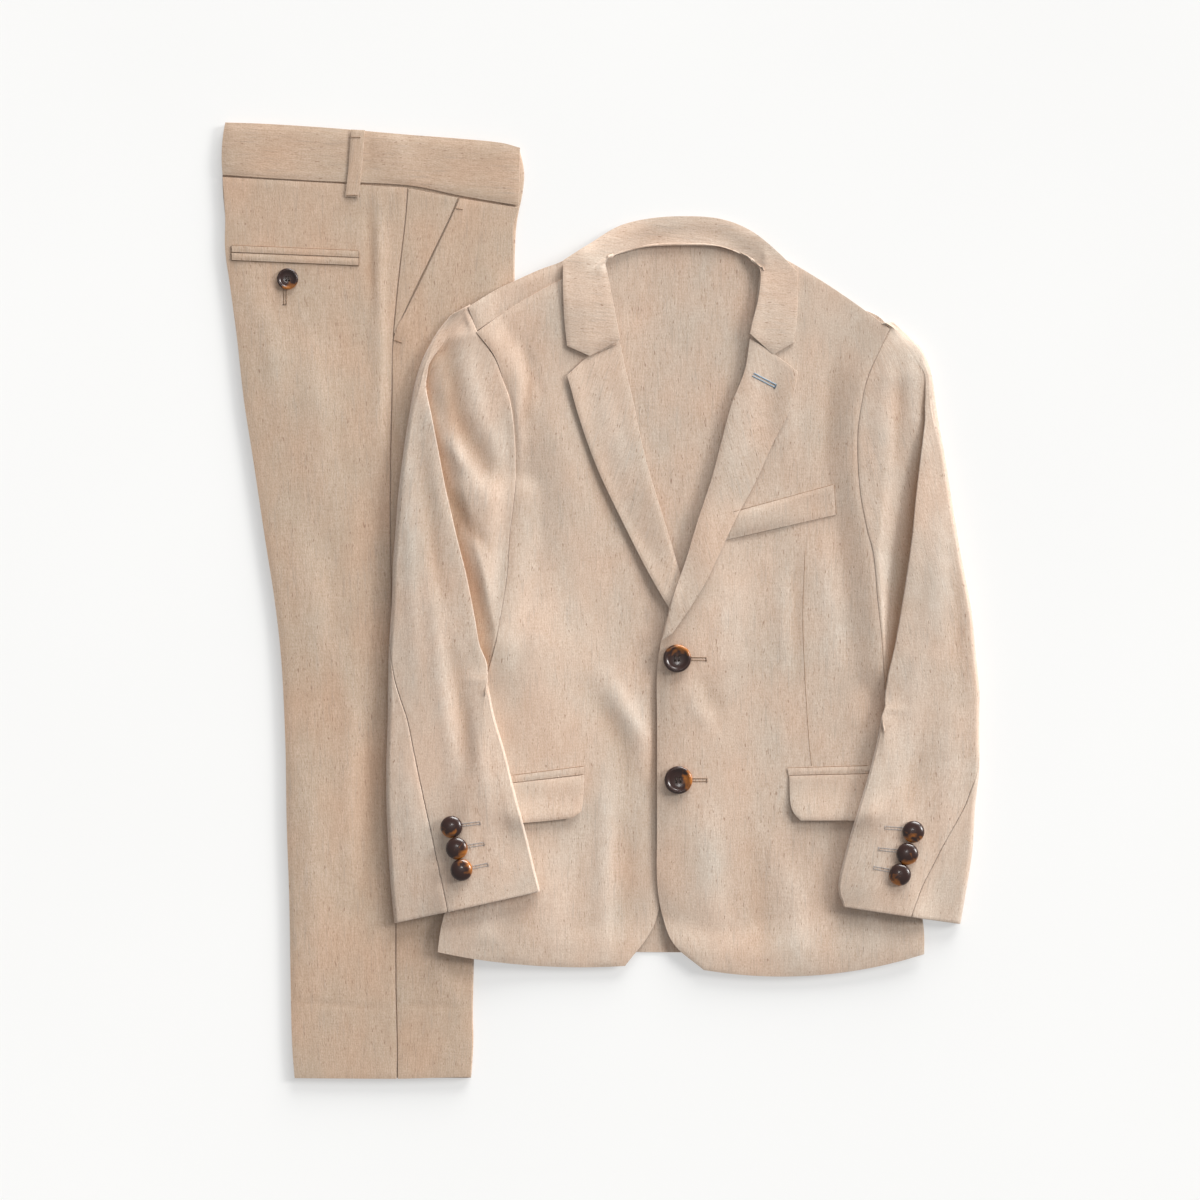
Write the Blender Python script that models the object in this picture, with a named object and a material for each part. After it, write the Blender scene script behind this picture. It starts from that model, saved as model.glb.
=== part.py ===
"""A boys' two-piece suit laid flat: a buttoned jacket over trousers folded side-on.

Every piece of cloth is a wall laid on the pile below it. X runs from the wearer's right to the
left, Y from hem to collar and Z up from the table. Tables and sizes are in millimetres.
"""

import math

import bpy
import numpy as np
from mathutils import Vector
from mathutils.bvhtree import BVHTree

MM = 0.001

# Cloth and making
JACKET_CLOTH = 2.0
TROUSER_CLOTH = 1.9
WAISTBAND_CLOTH = 2.5
WELT_CLOTH = 1.5
SEAM_GAP = 0.3
ARMHOLE_GAP = 0.8
LAY_GAP = 0.6
EDGE_DROP = 0.5

# The folded trousers under their outer panels
HIDDEN_LAYERS = 5.4
HIDDEN_CROWN = 0.7
HIDDEN_FOOT_INSET = 0.8
HIDDEN_TOP_INSET = 0.9

# The flattened sleeves
SLEEVE_HEIGHT = 7.8
SLEEVE_HEAD_HEIGHT = 5.3
ARMHOLE_HEIGHT = 4.9
SLEEVE_END_RADIUS = 4.0
# As shares of a section's width: the widest round end, cloth and outer strip, and the least turn-over
SLEEVE_END_SHARE = 0.14
SLEEVE_CLOTH_SHARE = 0.12
SLEEVE_STRIP_SHARE = 0.4
# A section's height grows with its width, and at the head with each section down from the shoulder
SLEEVE_RISE_ACROSS = 0.05
SLEEVE_RISE_DOWN = 0.25
SLEEVE_FOLD_DIP = 0.5
SLEEVE_PAST_FOLD = 0.3
SLEEVE_PAST_DIP = 0.2
SLEEVE_COLUMNS = 9
END_TURN = (-math.pi / 4, 0.0, math.pi / 4)

# How much the middle of a panel stands off what it lies on, and how high a lapel's roll stands
FRONT_PUFF = 1.7
LEG_PUFF = 0.8
BELT_LOOP_PUFF = 0.8
LAPEL_ROLL = 2.4
# The roll is flatter at the break than at the gorge: the share of a half wave where it starts
LAPEL_ROLL_START = 0.15

# Places along each section of a panel
BACK_COLUMNS = 13
FRONT_COLUMNS = 10
BACK_LEG_COLUMNS = 9
FRONT_LEG_COLUMNS = 7
TRIM_COLUMNS = 6
WAISTBAND_COLUMNS = 5
STRIP_COLUMNS = 3

# Buttons
FRONT_BUTTON = 21.0
CUFF_BUTTON = 16.5
POCKET_BUTTON = 16.0
BUTTON_SIDES = 16
# Where the cloth under a button is felt, as shares of its radius, and in how many directions
BUTTON_FEELERS = (0, 0.5, 0.9)
FEELER_TURNS = 12

WAISTBAND_GAP = 0.6
SHOULDER_INSET = 0.5

# Laying: samples along each side of a grid cell, rounds of easing, the lift below which cloth still
# rests on the table, and the height that rays start from
CELL_SAMPLES = 5
EASING = 4
RESTS_BELOW = 0.4
SKY = 500.0

CLOTH_COLOUR = (0.60, 0.45, 0.33)
TROUSER_COLOUR = (0.57, 0.42, 0.31)
BUTTON_COLOUR = (0.16, 0.05, 0.015)


def table(columns, *rows):
    """Named columns of numbers."""
    return dict(zip(columns.split(), np.array(rows, float).T))


SECTION = "left_x left_y right_x right_y bow"

# The jacket's side: shoulder tip, armhole down to the underarm, then the side edge to the hem
RIGHT_SIDE = table(
    "x y",
    (-100, 219), (-99, 206), (-93, 200), (-80, 183), (-73, 165), (-67, 146), (-64, 116),
    (-64, 83), (-68, 49), (-70, 19), (-74, -7), (-79, -34), (-85, -57), (-90, -86),
    (-98, -127), (-105, -169), (-111, -201), (-116, -229), (-120, -247), (-122, -263),
)
LEFT_SIDE = table(
    "x y",
    (205, 215), (213, 209.5), (217, 203), (210, 188), (200, 165), (194, 134), (193, 109),
    (195, 80), (200, 53), (205, 33), (208, 0), (211, -30), (213, -60), (216, -91),
    (224, -135), (232, -176), (238, -208), (241, -231), (243, -249), (243, -265),
)
UNDERARM = 12
FRONT_TOP = 2

# The fronts' inner edges: neck, roll line, buttoned edge, cutaway. `bow` bends the section down.
RIGHT_FRONT_EDGE = table(
    "x y bow",
    (3, 254, -4), (5, 236, -2), (10, 214, 0), (17, 180, 0), (25, 146, 0), (33, 110, 0),
    (43, 71, 0), (53, 38, 0), (62, 4, 0), (69, -26, 0), (73, -54, 0), (73, -86, 0),
    (73, -124, 0), (67, -159, 0), (58, -191, 0), (48, -219, 1), (39, -247, 2), (19, -274, 5),
)
LEFT_FRONT_EDGE = table(
    "x y bow",
    (121, 265, -3), (118, 236, 0), (114, 206, 0), (108, 172, 0), (98, 146, 0), (89, 110, 0),
    (79, 75, 0), (67, 39, 0), (55, 6, 0), (46, -26, 0), (42, -54, 0), (42, -90, 0),
    (42, -135, 0), (42, -176, 0), (42, -210, 0), (46, -236, 2), (55, -258, 6), (77, -277, 10),
)
# The back's own sections above the shoulder tips
BACK_TOP = table(
    SECTION,
    (10, 276, 118, 272, 6), (-11, 263, 131, 261, 2), (-41, 248, 154, 243, 0), (-71, 234, 182, 224, 0),
)
BACK_HEM = -263

# The back's strip that turns forward to the shoulder seam
SHOULDER_STRIP = table(
    SECTION,
    (-99, 219.5, -92, 201, 0), (-81, 231, -79, 210, 0), (-65, 239, -65, 219, 0),
    (-45, 248, -46, 230, 0), (-29, 254, -30, 239, 0), (-8, 265, -9, 250, 0),
)

# Lapels from the gorge down to the break, each from its outer edge to its roll or the other way.
# `notch` bends the gorge section to a point at NOTCH_SHARE of its way from the lapel's or collar's tip.
NOTCH_SHARE = 0.4
RIGHT_LAPEL = table(
    SECTION + " notch",
    (-25, 168, 15, 192, 0, -4), (-22, 158, 19, 173, 0, 0), (-17, 140, 24, 152, 0, 0),
    (-9, 116, 30, 123, 0, 0),
    (1, 91, 37, 95, 0, 0), (15, 62, 46, 66, 0, 0), (31, 30, 57, 30, 0, 0), (42, 10, 62, 13, 0, 0),
    (52, -7, 67, 0, 0, 0),
)
LEFT_LAPEL = table(
    SECTION,
    (112, 196, 148, 171, -1), (108, 172, 146, 159, 0), (98, 146, 141, 140, 0), (91, 120, 130, 119, 0),
    (83, 90, 117, 90, 0), (73, 60, 101, 60, 0), (64, 30, 87, 30, 0), (55, 4, 74, 5, 0),
    (46, -30, 54, -25, 0),
)
# The collar from its right point, round the back of the neck, to its left point
COLLAR = table(
    SECTION + " notch left_rise right_rise",
    (-25, 190, 15, 195, 0, 9.5, 0, 3), (-27, 210, 12, 211, 0, 2, 0, 3.5),
    (-28, 233, 8, 232, 0, 0, 0, 4),
    (-28, 254, 4, 252, 0, 0, 0.5, 4), (-8, 267, 8, 258, 0, 0, 2, 3), (13, 280, 20, 261, 0, 0, 5, 1),
    (35, 286, 37, 265, 0, 0, 7, 0), (62, 288, 62, 266, 0, 0, 7.5, 0), (90, 286, 88, 265, 0, 0, 7, 0),
    (113, 277, 106, 259, 0, 0, 5, 1), (133, 261, 117, 253, 0, 0, 2, 3),
    (148, 246, 120, 244, 0, 0, 0.5, 4),
    (148, 225, 118, 225, 0, 0, 0, 4), (147, 206, 114, 209, 0, -2, 0, 3.5),
    (145, 193, 112, 199.5, 0, -12, 0, 3),
)

BREAST_WELT = table(SECTION, (100, 66, 175, 86.5, 0), (89, 44, 176.5, 64, 0))
RIGHT_JET = table(SECTION, (-72, -132, -11, -124.5, 0), (-72, -137, -11, -130, 0))
LEFT_JET = table(SECTION, (140, -126, 209, -124, 0), (141, -131, 209, -129.5, 0))
RIGHT_FLAP = table(
    SECTION,
    (-71, -137.5, -12, -130.7, 0), (-71, -152, -13, -150, 0), (-70, -160, -14, -158, 0),
    (-69, -167, -21, -163, 0.5),
)
LEFT_FLAP = table(
    SECTION,
    (141.5, -131.6, 208, -130.2, 0), (142, -149, 208, -149, 0), (144, -158, 208, -158, 0),
    (150, -165, 207, -165, 0),
)

# Sleeves, a section from the outer edge to the armhole or the inner edge. `seam` is the hind-arm
# seam's distance from the outer edge, and `fold` where the sleeve's edge folds, as a share across.
SLEEVE = "outer_x outer_y inner_x inner_y seam fold"
RIGHT_SLEEVE_HEAD = table(
    "outer_x outer_y seam fold",
    (-112, 213, 2, 0.5), (-121, 202, 2, 0.4), (-127, 192, 2, 0.3), (-134, 178, 2, 0.22),
    (-139, 161, 2, 0.2),
    (-143, 138, 2, 0.24), (-147, 112, 2, 0.3), (-151, 80, 2, 0.39), (-153, 53, 2, 0.5),
    (-155, 26, 2.5, 0.62),
    (-156, -4, 4, 0.72), (-158, -34, 6, 0.82), (-158, -61, 10, 0.9),
)
RIGHT_SLEEVE_ARM = table(
    SLEEVE,
    (-159, -91, -80, -85, 16, 0.9), (-160, -121, -71, -114, 22, 0.9), (-160, -150, -64, -142, 28, 0.9),
    (-159, -176, -56, -172, 33, 0.9), (-157, -210, -49, -201, 38, 0.9),
    (-154, -241, -45, -217, 41, 0.9),
)
LEFT_SLEEVE_HEAD = table(
    "outer_x outer_y seam fold",
    (220, 208, 2, 0.4), (229, 200, 2, 0.3), (240, 189, 2, 0.22), (248, 171, 2, 0.2),
    (253, 137, 2, 0.2), (258, 109, 2, 0.26), (263, 77, 2, 0.35), (268, 47, 2, 0.46),
    (273, 19, 2.5, 0.59),
    (278, -7, 4, 0.71), (281, -37, 5.5, 0.82), (284, -67, 8, 0.9),
)
LEFT_SLEEVE_ARM = table(
    SLEEVE,
    (284, -97, 211, -90, 14, 0.9), (284, -126, 202, -126, 20, 0.9), (281, -154, 193, -156, 25, 0.9),
    (279, -186, 184, -187, 31, 0.9), (275, -213, 178, -214, 35, 0.9), (270, -242, 182, -229, 38, 0.9),
)

# Trousers
WAISTBAND = table(
    SECTION,
    (-281, 358, -283, 318, 1.5), (-252, 357, -253, 315.7, 0), (-204, 354, -206, 313, 0),
    (-146, 349, -144, 310, 0),
    (-107, 346, -106, 302.5, 0), (-76, 343, -77, 297.5, 0), (-60, 339, -61, 295, 0),
)
BACK_LEG = table(
    SECTION,
    (-283, 317, -144.3, 309, 0), (-281, 289, -146.3, 284, 0), (-281, 263, -149.3, 258, 0),
    (-277, 233, -152.3, 231, 0),
    (-272, 195, -155.3, 195, 0), (-267, 150, -156.3, 150, 0), (-260, 105, -157.3, 105, 0),
    (-251, 45, -157.3, 45, 0),
    (-244, 0, -156.3, 0, 0), (-239, -45, -156.3, -45, 0), (-236, -105, -155.3, -105, 0),
    (-235, -165, -154.3, -165, 0),
    (-233, -225, -153.3, -225, 0), (-232, -285, -153.3, -285, 0), (-231, -330, -152.3, -330, 0),
    (-229, -358, -152.3, -358.5, 0),
)
FRONT_LEG = table(
    SECTION,
    (-105.5, 301, -61, 294, 0), (-113, 284, -65, 281, 0), (-124, 261, -65, 260, 0),
    (-135, 238, -65, 238, 0),
    (-146, 216, -66, 216, 0), (-155, 195, -68, 195, 0), (-156, 150, -71, 150, 0),
    (-157, 105, -75, 105, 0),
    (-157, 45, -80, 45, 0), (-156, 0, -83, 0, 0), (-156, -45, -86, -45, 0), (-155, -105, -90, -105, 0),
    (-154, -165, -92, -165, 0), (-153, -225, -94, -225, 0), (-153, -285, -96, -285, 0),
    (-152, -330, -96, -330, 0),
    (-152, -358.5, -97, -357, 0),
)
POCKET_BEARER = table(
    SECTION,
    (-144, 308.5, -106.3, 301.5, 0), (-146, 284, -113.8, 284, 0), (-149, 258, -126.3, 258, 0),
    (-152, 231, -139.5, 231, 0), (-154.8, 200, -153.3, 200, 0),
)
BELT_LOOP = table(
    SECTION,
    (-186.5, 352.5, -176, 352, 0), (-187.5, 340, -177, 340, 0), (-189, 320, -178.5, 320, 0),
    (-191, 302, -181, 301.5, 0),
)
# The back pocket's two welts: name, height of the upper edge at the left and the right end, depth
BACK_WELTS = (
    ("upper", 265.5, 261.5, 5.0),
    ("lower", 260.0, 256.0, 5.6),
)
BACK_WELT_LEFT = -276.0
BACK_WELT_RIGHT = -181.0
HIDDEN = table(
    SECTION,
    (-280.5, 357, -61, 338.5, 0), (-282.5, 330, -57.5, 322, 0), (-282.5, 308, -58.5, 306, 0),
    (-280.5, 284, -63, 283, 0),
    (-280.5, 260, -64.5, 258, 0), (-276.5, 233, -64.8, 232, 0), (-271.5, 195, -67.5, 195, 0),
    (-266.5, 150, -70.5, 150, 0),
    (-259.5, 105, -74.5, 105, 0), (-250.5, 45, -79.5, 45, 0), (-243.5, 0, -82.5, 0, 0),
    (-238.5, -45, -85.5, -45, 0),
    (-235.5, -105, -89.5, -105, 0), (-234.5, -165, -91.5, -165, 0), (-232.5, -225, -93.5, -225, 0),
    (-231.5, -285, -95.5, -285, 0), (-230.5, -330, -95.5, -330, 0), (-228.5, -357.7, -97, -357.5, 0),
)
# Each edge profile point: height as a share of the layers' height, and how far it is set in
LAYER_EDGES = table("height inset", (0.22, 0.0), (0.5, 0.0), (0.68, 1.0), (0.84, 0.2))

# Soft folds: a ridge runs from start to end, `width` across and `rise` high at its middle
FOLD = "start_x start_y end_x end_y width rise"
RIGHT_FRONT_FOLDS = table(
    FOLD, (4, -50, 35, -118, 9, 1.4), (7, -140, 5, -205, 8, 1.3), (-40, -60, -20, -110, 12, 0.9),
    (-20, 120, -30, 40, 14, 0.9),
)
LEFT_FRONT_FOLDS = table(
    FOLD, (150, 30, 148, -110, 10, 0.8), (100, -150, 96, -250, 12, 1.0), (190, -40, 200, -120, 10, 1.0),
)
BACK_LEG_FOLDS = table(
    FOLD, (-168, 300, -166, 215, 5, 0.9), (-230, 190, -200, 120, 16, 1.2),
    (-190, 60, -180, -60, 14, 1.0),
    (-215, -100, -205, -260, 14, 1.0),
)
FRONT_LEG_FOLDS = table(FOLD, (-120, 150, -130, 0, 12, 1.0), (-130, -100, -125, -280, 12, 1.0))
NO_FOLDS = table(FOLD, (0, 0, 1, 0, 1, 0))

# Buttons: the middle of each, and its diameter
BUTTONS = {
    "front_button_upper": (57.5, -43.5, FRONT_BUTTON),
    "front_button_lower": (58.5, -134.5, FRONT_BUTTON),
    "back_pocket_button": (-234, 240.5, POCKET_BUTTON),
}
RIGHT_CUFF_BUTTONS = ((-111, -169), (-107, -185), (-103.5, -201))
LEFT_CUFF_BUTTONS = ((234, -173), (229.5, -189.5), (224, -205))
# A button's turned profile: share of the radius, and height in shares of the diameter
BUTTON_PROFILE = table(
    "radius height", (0.86, 0.0), (1.0, 0.06), (1.0, 0.12), (0.9, 0.19), (0.72, 0.15), (0.55, 0.12)
)


def material(name, colour, roughness):
    made = bpy.data.materials.new(name)
    made.use_nodes = True
    shader = made.node_tree.nodes["Principled BSDF"]
    shader.inputs["Base Color"].default_value = (*colour, 1.0)
    shader.inputs["Roughness"].default_value = roughness
    shader.inputs["Metallic"].default_value = 0.0
    return made


def closed_object(name, points, faces, cloth):
    """Makes the mesh object, with its faces turned outwards by its enclosed volume."""
    corners = np.array(points)[np.array(faces)]
    volume = np.einsum("ij,ij->", corners[:, 0], np.cross(corners[:, 1], corners[:, 2]))
    if volume < 0:
        faces = [face[::-1] for face in faces]
    mesh = bpy.data.meshes.new(name)
    mesh.from_pydata((np.array(points) * MM).tolist(), [], [list(map(int, face)) for face in faces])
    mesh.materials.append(cloth)
    mesh.shade_smooth()
    mesh.set_sharp_from_angle(angle=math.radians(40))
    made = bpy.data.objects.new(name, mesh)
    bpy.context.scene.collection.objects.link(made)
    return made


class Pile:
    """Everything laid down so far, as one surface seen from above."""

    def __init__(self):
        self.points = []
        self.faces = []
        self.tree = None

    def add(self, points, faces):
        start = len(self.points)
        self.points += [Vector(point) for point in points]
        self.faces += [[int(corner) + start for corner in face] for face in faces]
        self.tree = BVHTree.FromPolygons(self.points, self.faces)

    def top(self, x, y):
        """The height on which a piece comes to lie at this place."""
        if self.tree is None:
            return 0.0
        hit = self.tree.ray_cast(Vector((x, y, SKY)), Vector((0, 0, -1)))[0]
        return 0.0 if hit is None else hit.z + LAY_GAP

    def under(self, grid):
        """Heights for a grid of places, each as high as anything under the cells that meet there."""
        rows, columns = grid.shape[:2]
        need = np.zeros((rows, columns))
        shares = np.linspace(0, 1, CELL_SAMPLES)
        for row in range(rows - 1):
            for column in range(columns - 1):
                near, far = grid[row, column : column + 2], grid[row + 1, column : column + 2]
                tops = [0.0]
                for down in shares:
                    start = near[0] + (far[0] - near[0]) * down
                    end = near[1] + (far[1] - near[1]) * down
                    tops += [self.top(*(start + (end - start) * across)) for across in shares]
                cell = need[row : row + 2, column : column + 2]
                np.maximum(cell, max(tops), out=cell)
        height = need.copy()
        for _ in range(EASING):
            ring = np.pad(height, 1, mode="edge")
            mean = (ring[:-2, 1:-1] + ring[2:, 1:-1] + ring[1:-1, :-2] + ring[1:-1, 2:]) / 4
            height = np.maximum(need, mean)
        return np.where(height < RESTS_BELOW, 0.0, height)


def wall_faces(rows, columns):
    """Triangles of a closed wall between two grids: the first grid's points, then the second's."""
    index = np.arange(rows * columns).reshape(rows, columns)
    lift = rows * columns
    faces = []
    for row in range(rows - 1):
        for column in range(columns - 1):
            a, b = index[row, column], index[row, column + 1]
            c, d = index[row + 1, column + 1], index[row + 1, column]
            faces += [[a, b, c], [a, c, d]]
            faces += [[a + lift, c + lift, b + lift], [a + lift, d + lift, c + lift]]
    border = [*index[0, :-1], *index[:-1, -1], *index[-1, :0:-1], *index[:0:-1, 0]]
    for here, there in zip(border, border[1:] + border[:1]):
        faces += [[here, here + lift, there + lift], [here, there + lift, there]]
    return faces


def lay_wall(pile, name, cloth, inner, outer):
    """A wall between an inner and an outer grid of points, added to the pile."""
    rows, columns = inner.shape[:2]
    points = np.concatenate([inner.reshape(-1, 3), outer.reshape(-1, 3)])
    faces = wall_faces(rows, columns)
    pile.add(points, faces)
    return closed_object(name, points, faces, cloth)


def places(sections, columns, inset=(0.0, 0.0)):
    """The grid of a panel: `columns` places along each section, its ends drawn in by `inset`."""
    left = np.stack([sections["left_x"], sections["left_y"]], 1)
    right = np.stack([sections["right_x"], sections["right_y"]], 1)
    across = right - left
    length = np.linalg.norm(across, axis=1, keepdims=True)
    along = across / length
    left, right = left + along * inset[0], right - along * inset[1]
    share = np.linspace(0, 1, columns)[None, :, None]
    down = np.stack([along[:, 1], -along[:, 0]], 1)[:, None]
    bend = sections["bow"][:, None, None] * 4 * share * (1 - share)
    if "notch" in sections:
        tent = np.minimum(share / NOTCH_SHARE, (1 - share) / (1 - NOTCH_SHARE))
        bend = bend + sections["notch"][:, None, None] * tent
    return left[:, None] + (right - left)[:, None] * share + down * bend


def ridges(grid, folds):
    """The height that the folds add over a grid of places."""
    added = np.zeros(grid.shape[:2])
    for start_x, start_y, end_x, end_y, width, rise in zip(*folds.values()):
        start = np.array([start_x, start_y])
        run = np.array([end_x, end_y]) - start
        share = np.clip(((grid - start) @ run) / (run @ run), 0, 1)
        away = np.linalg.norm(grid - start - share[..., None] * run, axis=2)
        along = 0.35 + 0.65 * np.sin(np.pi * share)
        added += rise * along * np.exp(-((away / width) ** 2))
    return added


def panel(
    pile, name, cloth, sections, columns, thickness, folds=NO_FOLDS, puff=0.0, inset=(0.0, 0.0), rise=0.0
):
    """A piece of cloth laid flat on the pile, with its soft folds and its slightly puffed middle."""
    grid = places(sections, columns, inset)
    rows = len(grid)
    down = np.sin(np.pi * np.linspace(0, 1, rows))[:, None]
    across = np.sin(np.pi * np.linspace(0, 1, columns))[None, :]
    under = pile.under(grid) + ridges(grid, folds) + puff * np.sqrt(down * across) + rise
    over = under + thickness
    over[[0, -1]] -= EDGE_DROP
    over[1:-1, [0, -1]] -= EDGE_DROP
    return lay_wall(pile, name, cloth, np.dstack([grid, under]), np.dstack([grid, over]))


def join(left, right):
    """Sections from a table of left ends to a table of right ends."""
    bow = left.get("bow", right.get("bow", np.zeros(len(left["x"]))))
    ends = {"left_x": left["x"], "left_y": left["y"], "right_x": right["x"], "right_y": right["y"]}
    return dict(ends, bow=bow)


def part_of(rows, start, end=None):
    return {name: values[start:end] for name, values in rows.items()}


def stacked(first, second):
    return {name: np.concatenate([first[name], second[name]]) for name in second}


def hidden_layers(pile, cloth):
    """The folded layers under the trousers' outer panels: one solid whose edge shows its layers."""
    grid = places(HIDDEN, FRONT_LEG_COLUMNS)
    rows, columns = grid.shape[:2]
    middle = grid[1:-1, 1:-1].reshape(-1, 2)
    border = np.concatenate([grid[0, :-1], grid[:-1, -1], grid[-1, :0:-1], grid[:0:-1, 0]])
    ahead, behind = np.roll(border, -1, axis=0), np.roll(border, 1, axis=0)
    tangent = (ahead - behind) / np.linalg.norm(ahead - behind, axis=1, keepdims=True)
    inward = np.stack([tangent[:, 1], -tangent[:, 0]], 1)
    heights = [0.0, *LAYER_EDGES["height"] * HIDDEN_LAYERS, HIDDEN_LAYERS]
    insets = [HIDDEN_FOOT_INSET, *LAYER_EDGES["inset"], HIDDEN_TOP_INSET]
    loops = [
        np.column_stack([border + inward * inset, np.full(len(border), height)])
        for height, inset in zip(heights, insets)
    ]
    down = np.sin(np.pi * np.linspace(0, 1, rows)[1:-1])
    across = np.sin(np.pi * np.linspace(0, 1, columns)[1:-1])
    crown = HIDDEN_CROWN * np.sqrt(np.outer(down, across)).reshape(-1)
    low = np.column_stack([middle, np.zeros(len(middle))])
    high = np.column_stack([middle, HIDDEN_LAYERS + crown])
    points = np.concatenate([*loops, low, high])
    count, last = len(border), (len(loops) - 1) * len(border)
    low_start = len(loops) * count
    high_start = low_start + len(middle)

    def corner(row, column, top):
        """The index of a grid corner on the underside or the top: on the border it is a loop's point."""
        base, inner_base = (last, high_start) if top else (0, low_start)
        if row == 0 and column < columns - 1:
            return base + column
        if column == columns - 1 and row < rows - 1:
            return base + columns - 1 + row
        if row == rows - 1 and column > 0:
            return base + columns - 1 + rows - 1 + columns - 1 - column
        if column == 0:
            return base + 2 * (columns - 1) + rows - 1 + rows - 1 - row
        return inner_base + (row - 1) * (columns - 2) + column - 1

    faces = []
    for row in range(rows - 1):
        for column in range(columns - 1):
            for top in (False, True):
                a, b = corner(row, column, top), corner(row, column + 1, top)
                c, d = corner(row + 1, column + 1, top), corner(row + 1, column, top)
                faces += [[a, c, b], [a, d, c]] if top else [[a, b, c], [a, c, d]]
    for level in range(len(loops) - 1):
        for here in range(count):
            there = (here + 1) % count
            a, b = level * count + here, level * count + there
            faces += [[a, a + count, b + count], [a, b + count, b]]
    pile.add(points, faces)
    return closed_object("trousers_hidden_layers", points, faces, cloth)


def sleeve_rows(head, side, arm):
    """The sleeve's sections: at the head each ends on the armhole, below the underarm at its own edge."""
    seam = part_of(side, UNDERARM + 1 - len(head["seam"]), UNDERARM + 1)
    return stacked(dict(head, inner_x=seam["x"], inner_y=seam["y"]), arm)


def sleeve_end(edge, radius, tall, turns):
    """Points round a sleeve's folded edge: place across, height, and the way into the cloth."""
    towards = math.copysign(1.0, radius)
    return [
        (
            edge + radius * (1 - math.cos(angle)),
            tall / 2 * (1 + math.sin(angle)),
            towards * math.cos(angle),
            -math.sin(angle),
        )
        for angle in turns
    ]


def sleeve(pile, side_name, cloth, head, side, arm):
    """A flattened sleeve of two pieces round one ring: the under sleeve turns over the outer edge."""
    rows = sleeve_rows(head, side, arm)
    outer = np.stack([rows["outer_x"], rows["outer_y"]], 1)
    inner = np.stack([rows["inner_x"], rows["inner_y"]], 1)
    head_rows = len(head["seam"])
    along = (inner - outer) / np.linalg.norm(inner - outer, axis=1, keepdims=True)
    at_armhole = np.arange(len(outer)) < head_rows
    inner = inner - along * np.where(at_armhole, ARMHOLE_GAP / 2, 0.0)[:, None]
    width = np.linalg.norm(inner - outer, axis=1)
    shares = np.linspace(0, 1, SLEEVE_COLUMNS)
    footprint = outer[:, None] + (inner - outer)[:, None] * shares[None, :, None]
    ground = pile.under(footprint)
    end_height = np.where(np.arange(len(outer)) < head_rows - 1, ARMHOLE_HEIGHT, SLEEVE_HEIGHT)
    under_rows, upper_rows = [], []
    for row, wide in enumerate(width):
        radius = min(SLEEVE_END_RADIUS, wide * SLEEVE_END_SHARE)
        cloth_reach = min(JACKET_CLOTH, wide * SLEEVE_CLOTH_SHARE)
        seam = min(rows["seam"][row] + radius / 2, wide * SLEEVE_STRIP_SHARE)
        fold = max(rows["fold"][row] * wide, seam + wide * SLEEVE_CLOTH_SHARE)
        past_fold = fold + (wide - radius - fold) * SLEEVE_PAST_FOLD
        tube = min(SLEEVE_HEIGHT, SLEEVE_HEAD_HEIGHT + wide * SLEEVE_RISE_ACROSS)
        end = end_height[row]
        edge_tall = min(tube, SLEEVE_HEAD_HEIGHT + row * SLEEVE_RISE_DOWN)
        after = SLEEVE_HEAD_HEIGHT
        if end == SLEEVE_HEIGHT:
            edge_tall = tube
            after = tube - SLEEVE_PAST_DIP
        bottom = [(share * wide, 0.0, 0.0, 1.0) for share in shares[-3:0:-1]]
        outer_arc = sleeve_end(0.0, radius, edge_tall, END_TURN)
        to_seam = [(place, edge_tall, 0.0, -1.0) for place in (radius, (radius + seam) / 2)]
        seam_top = (edge_tall + tube) / 2
        crown = [(place, tube, 0.0, -1.0) for place in np.linspace(seam, fold, 5)[1:-1]]
        beyond = np.linspace(past_fold, wide - radius, 3)
        top = [(seam + SEAM_GAP / 2, seam_top, 0.0, -1.0), *crown]
        top.append((fold, tube - SLEEVE_FOLD_DIP, 0.0, -1.0))
        top += [(place, after, 0.0, -1.0) for place in beyond[:-1]]
        top.append((beyond[-1], (after + end) / 2, 0.0, -1.0))
        inner_arc = sleeve_end(wide, -radius, end, END_TURN[::-1])
        forearm = (wide - radius, wide * shares[-3] + SEAM_GAP)
        to_forearm = [(place, 0.0, 0.0, 1.0) for place in forearm]
        under_path = bottom + outer_arc + to_seam + [(seam - SEAM_GAP / 2, seam_top, 0.0, -1.0)]
        upper_path = top + inner_arc + to_forearm
        for path, into in ((under_path, under_rows), (upper_path, upper_rows)):
            place, height, turn_in, turn_up = np.array(path).T
            base = np.interp(place / wide, shares, ground[row])
            outside = np.column_stack([outer[row] + along[row] * place[:, None], base + height])
            reach = cloth_reach * np.column_stack([along[row] * turn_in[:, None], turn_up])
            into.append((outside, outside + reach))
    for piece, lines in (("under_sleeve", under_rows), ("upper_sleeve", upper_rows)):
        outside, inside = (np.array([line[kind] for line in lines]) for kind in (0, 1))
        lay_wall(pile, f"jacket_{piece}_{side_name}", cloth, inside, outside)


def ring(middle, radius, sides):
    turns = np.linspace(0, 2 * math.pi, sides, endpoint=False)
    return np.array(middle) + radius * np.column_stack([np.cos(turns), np.sin(turns)])


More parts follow.
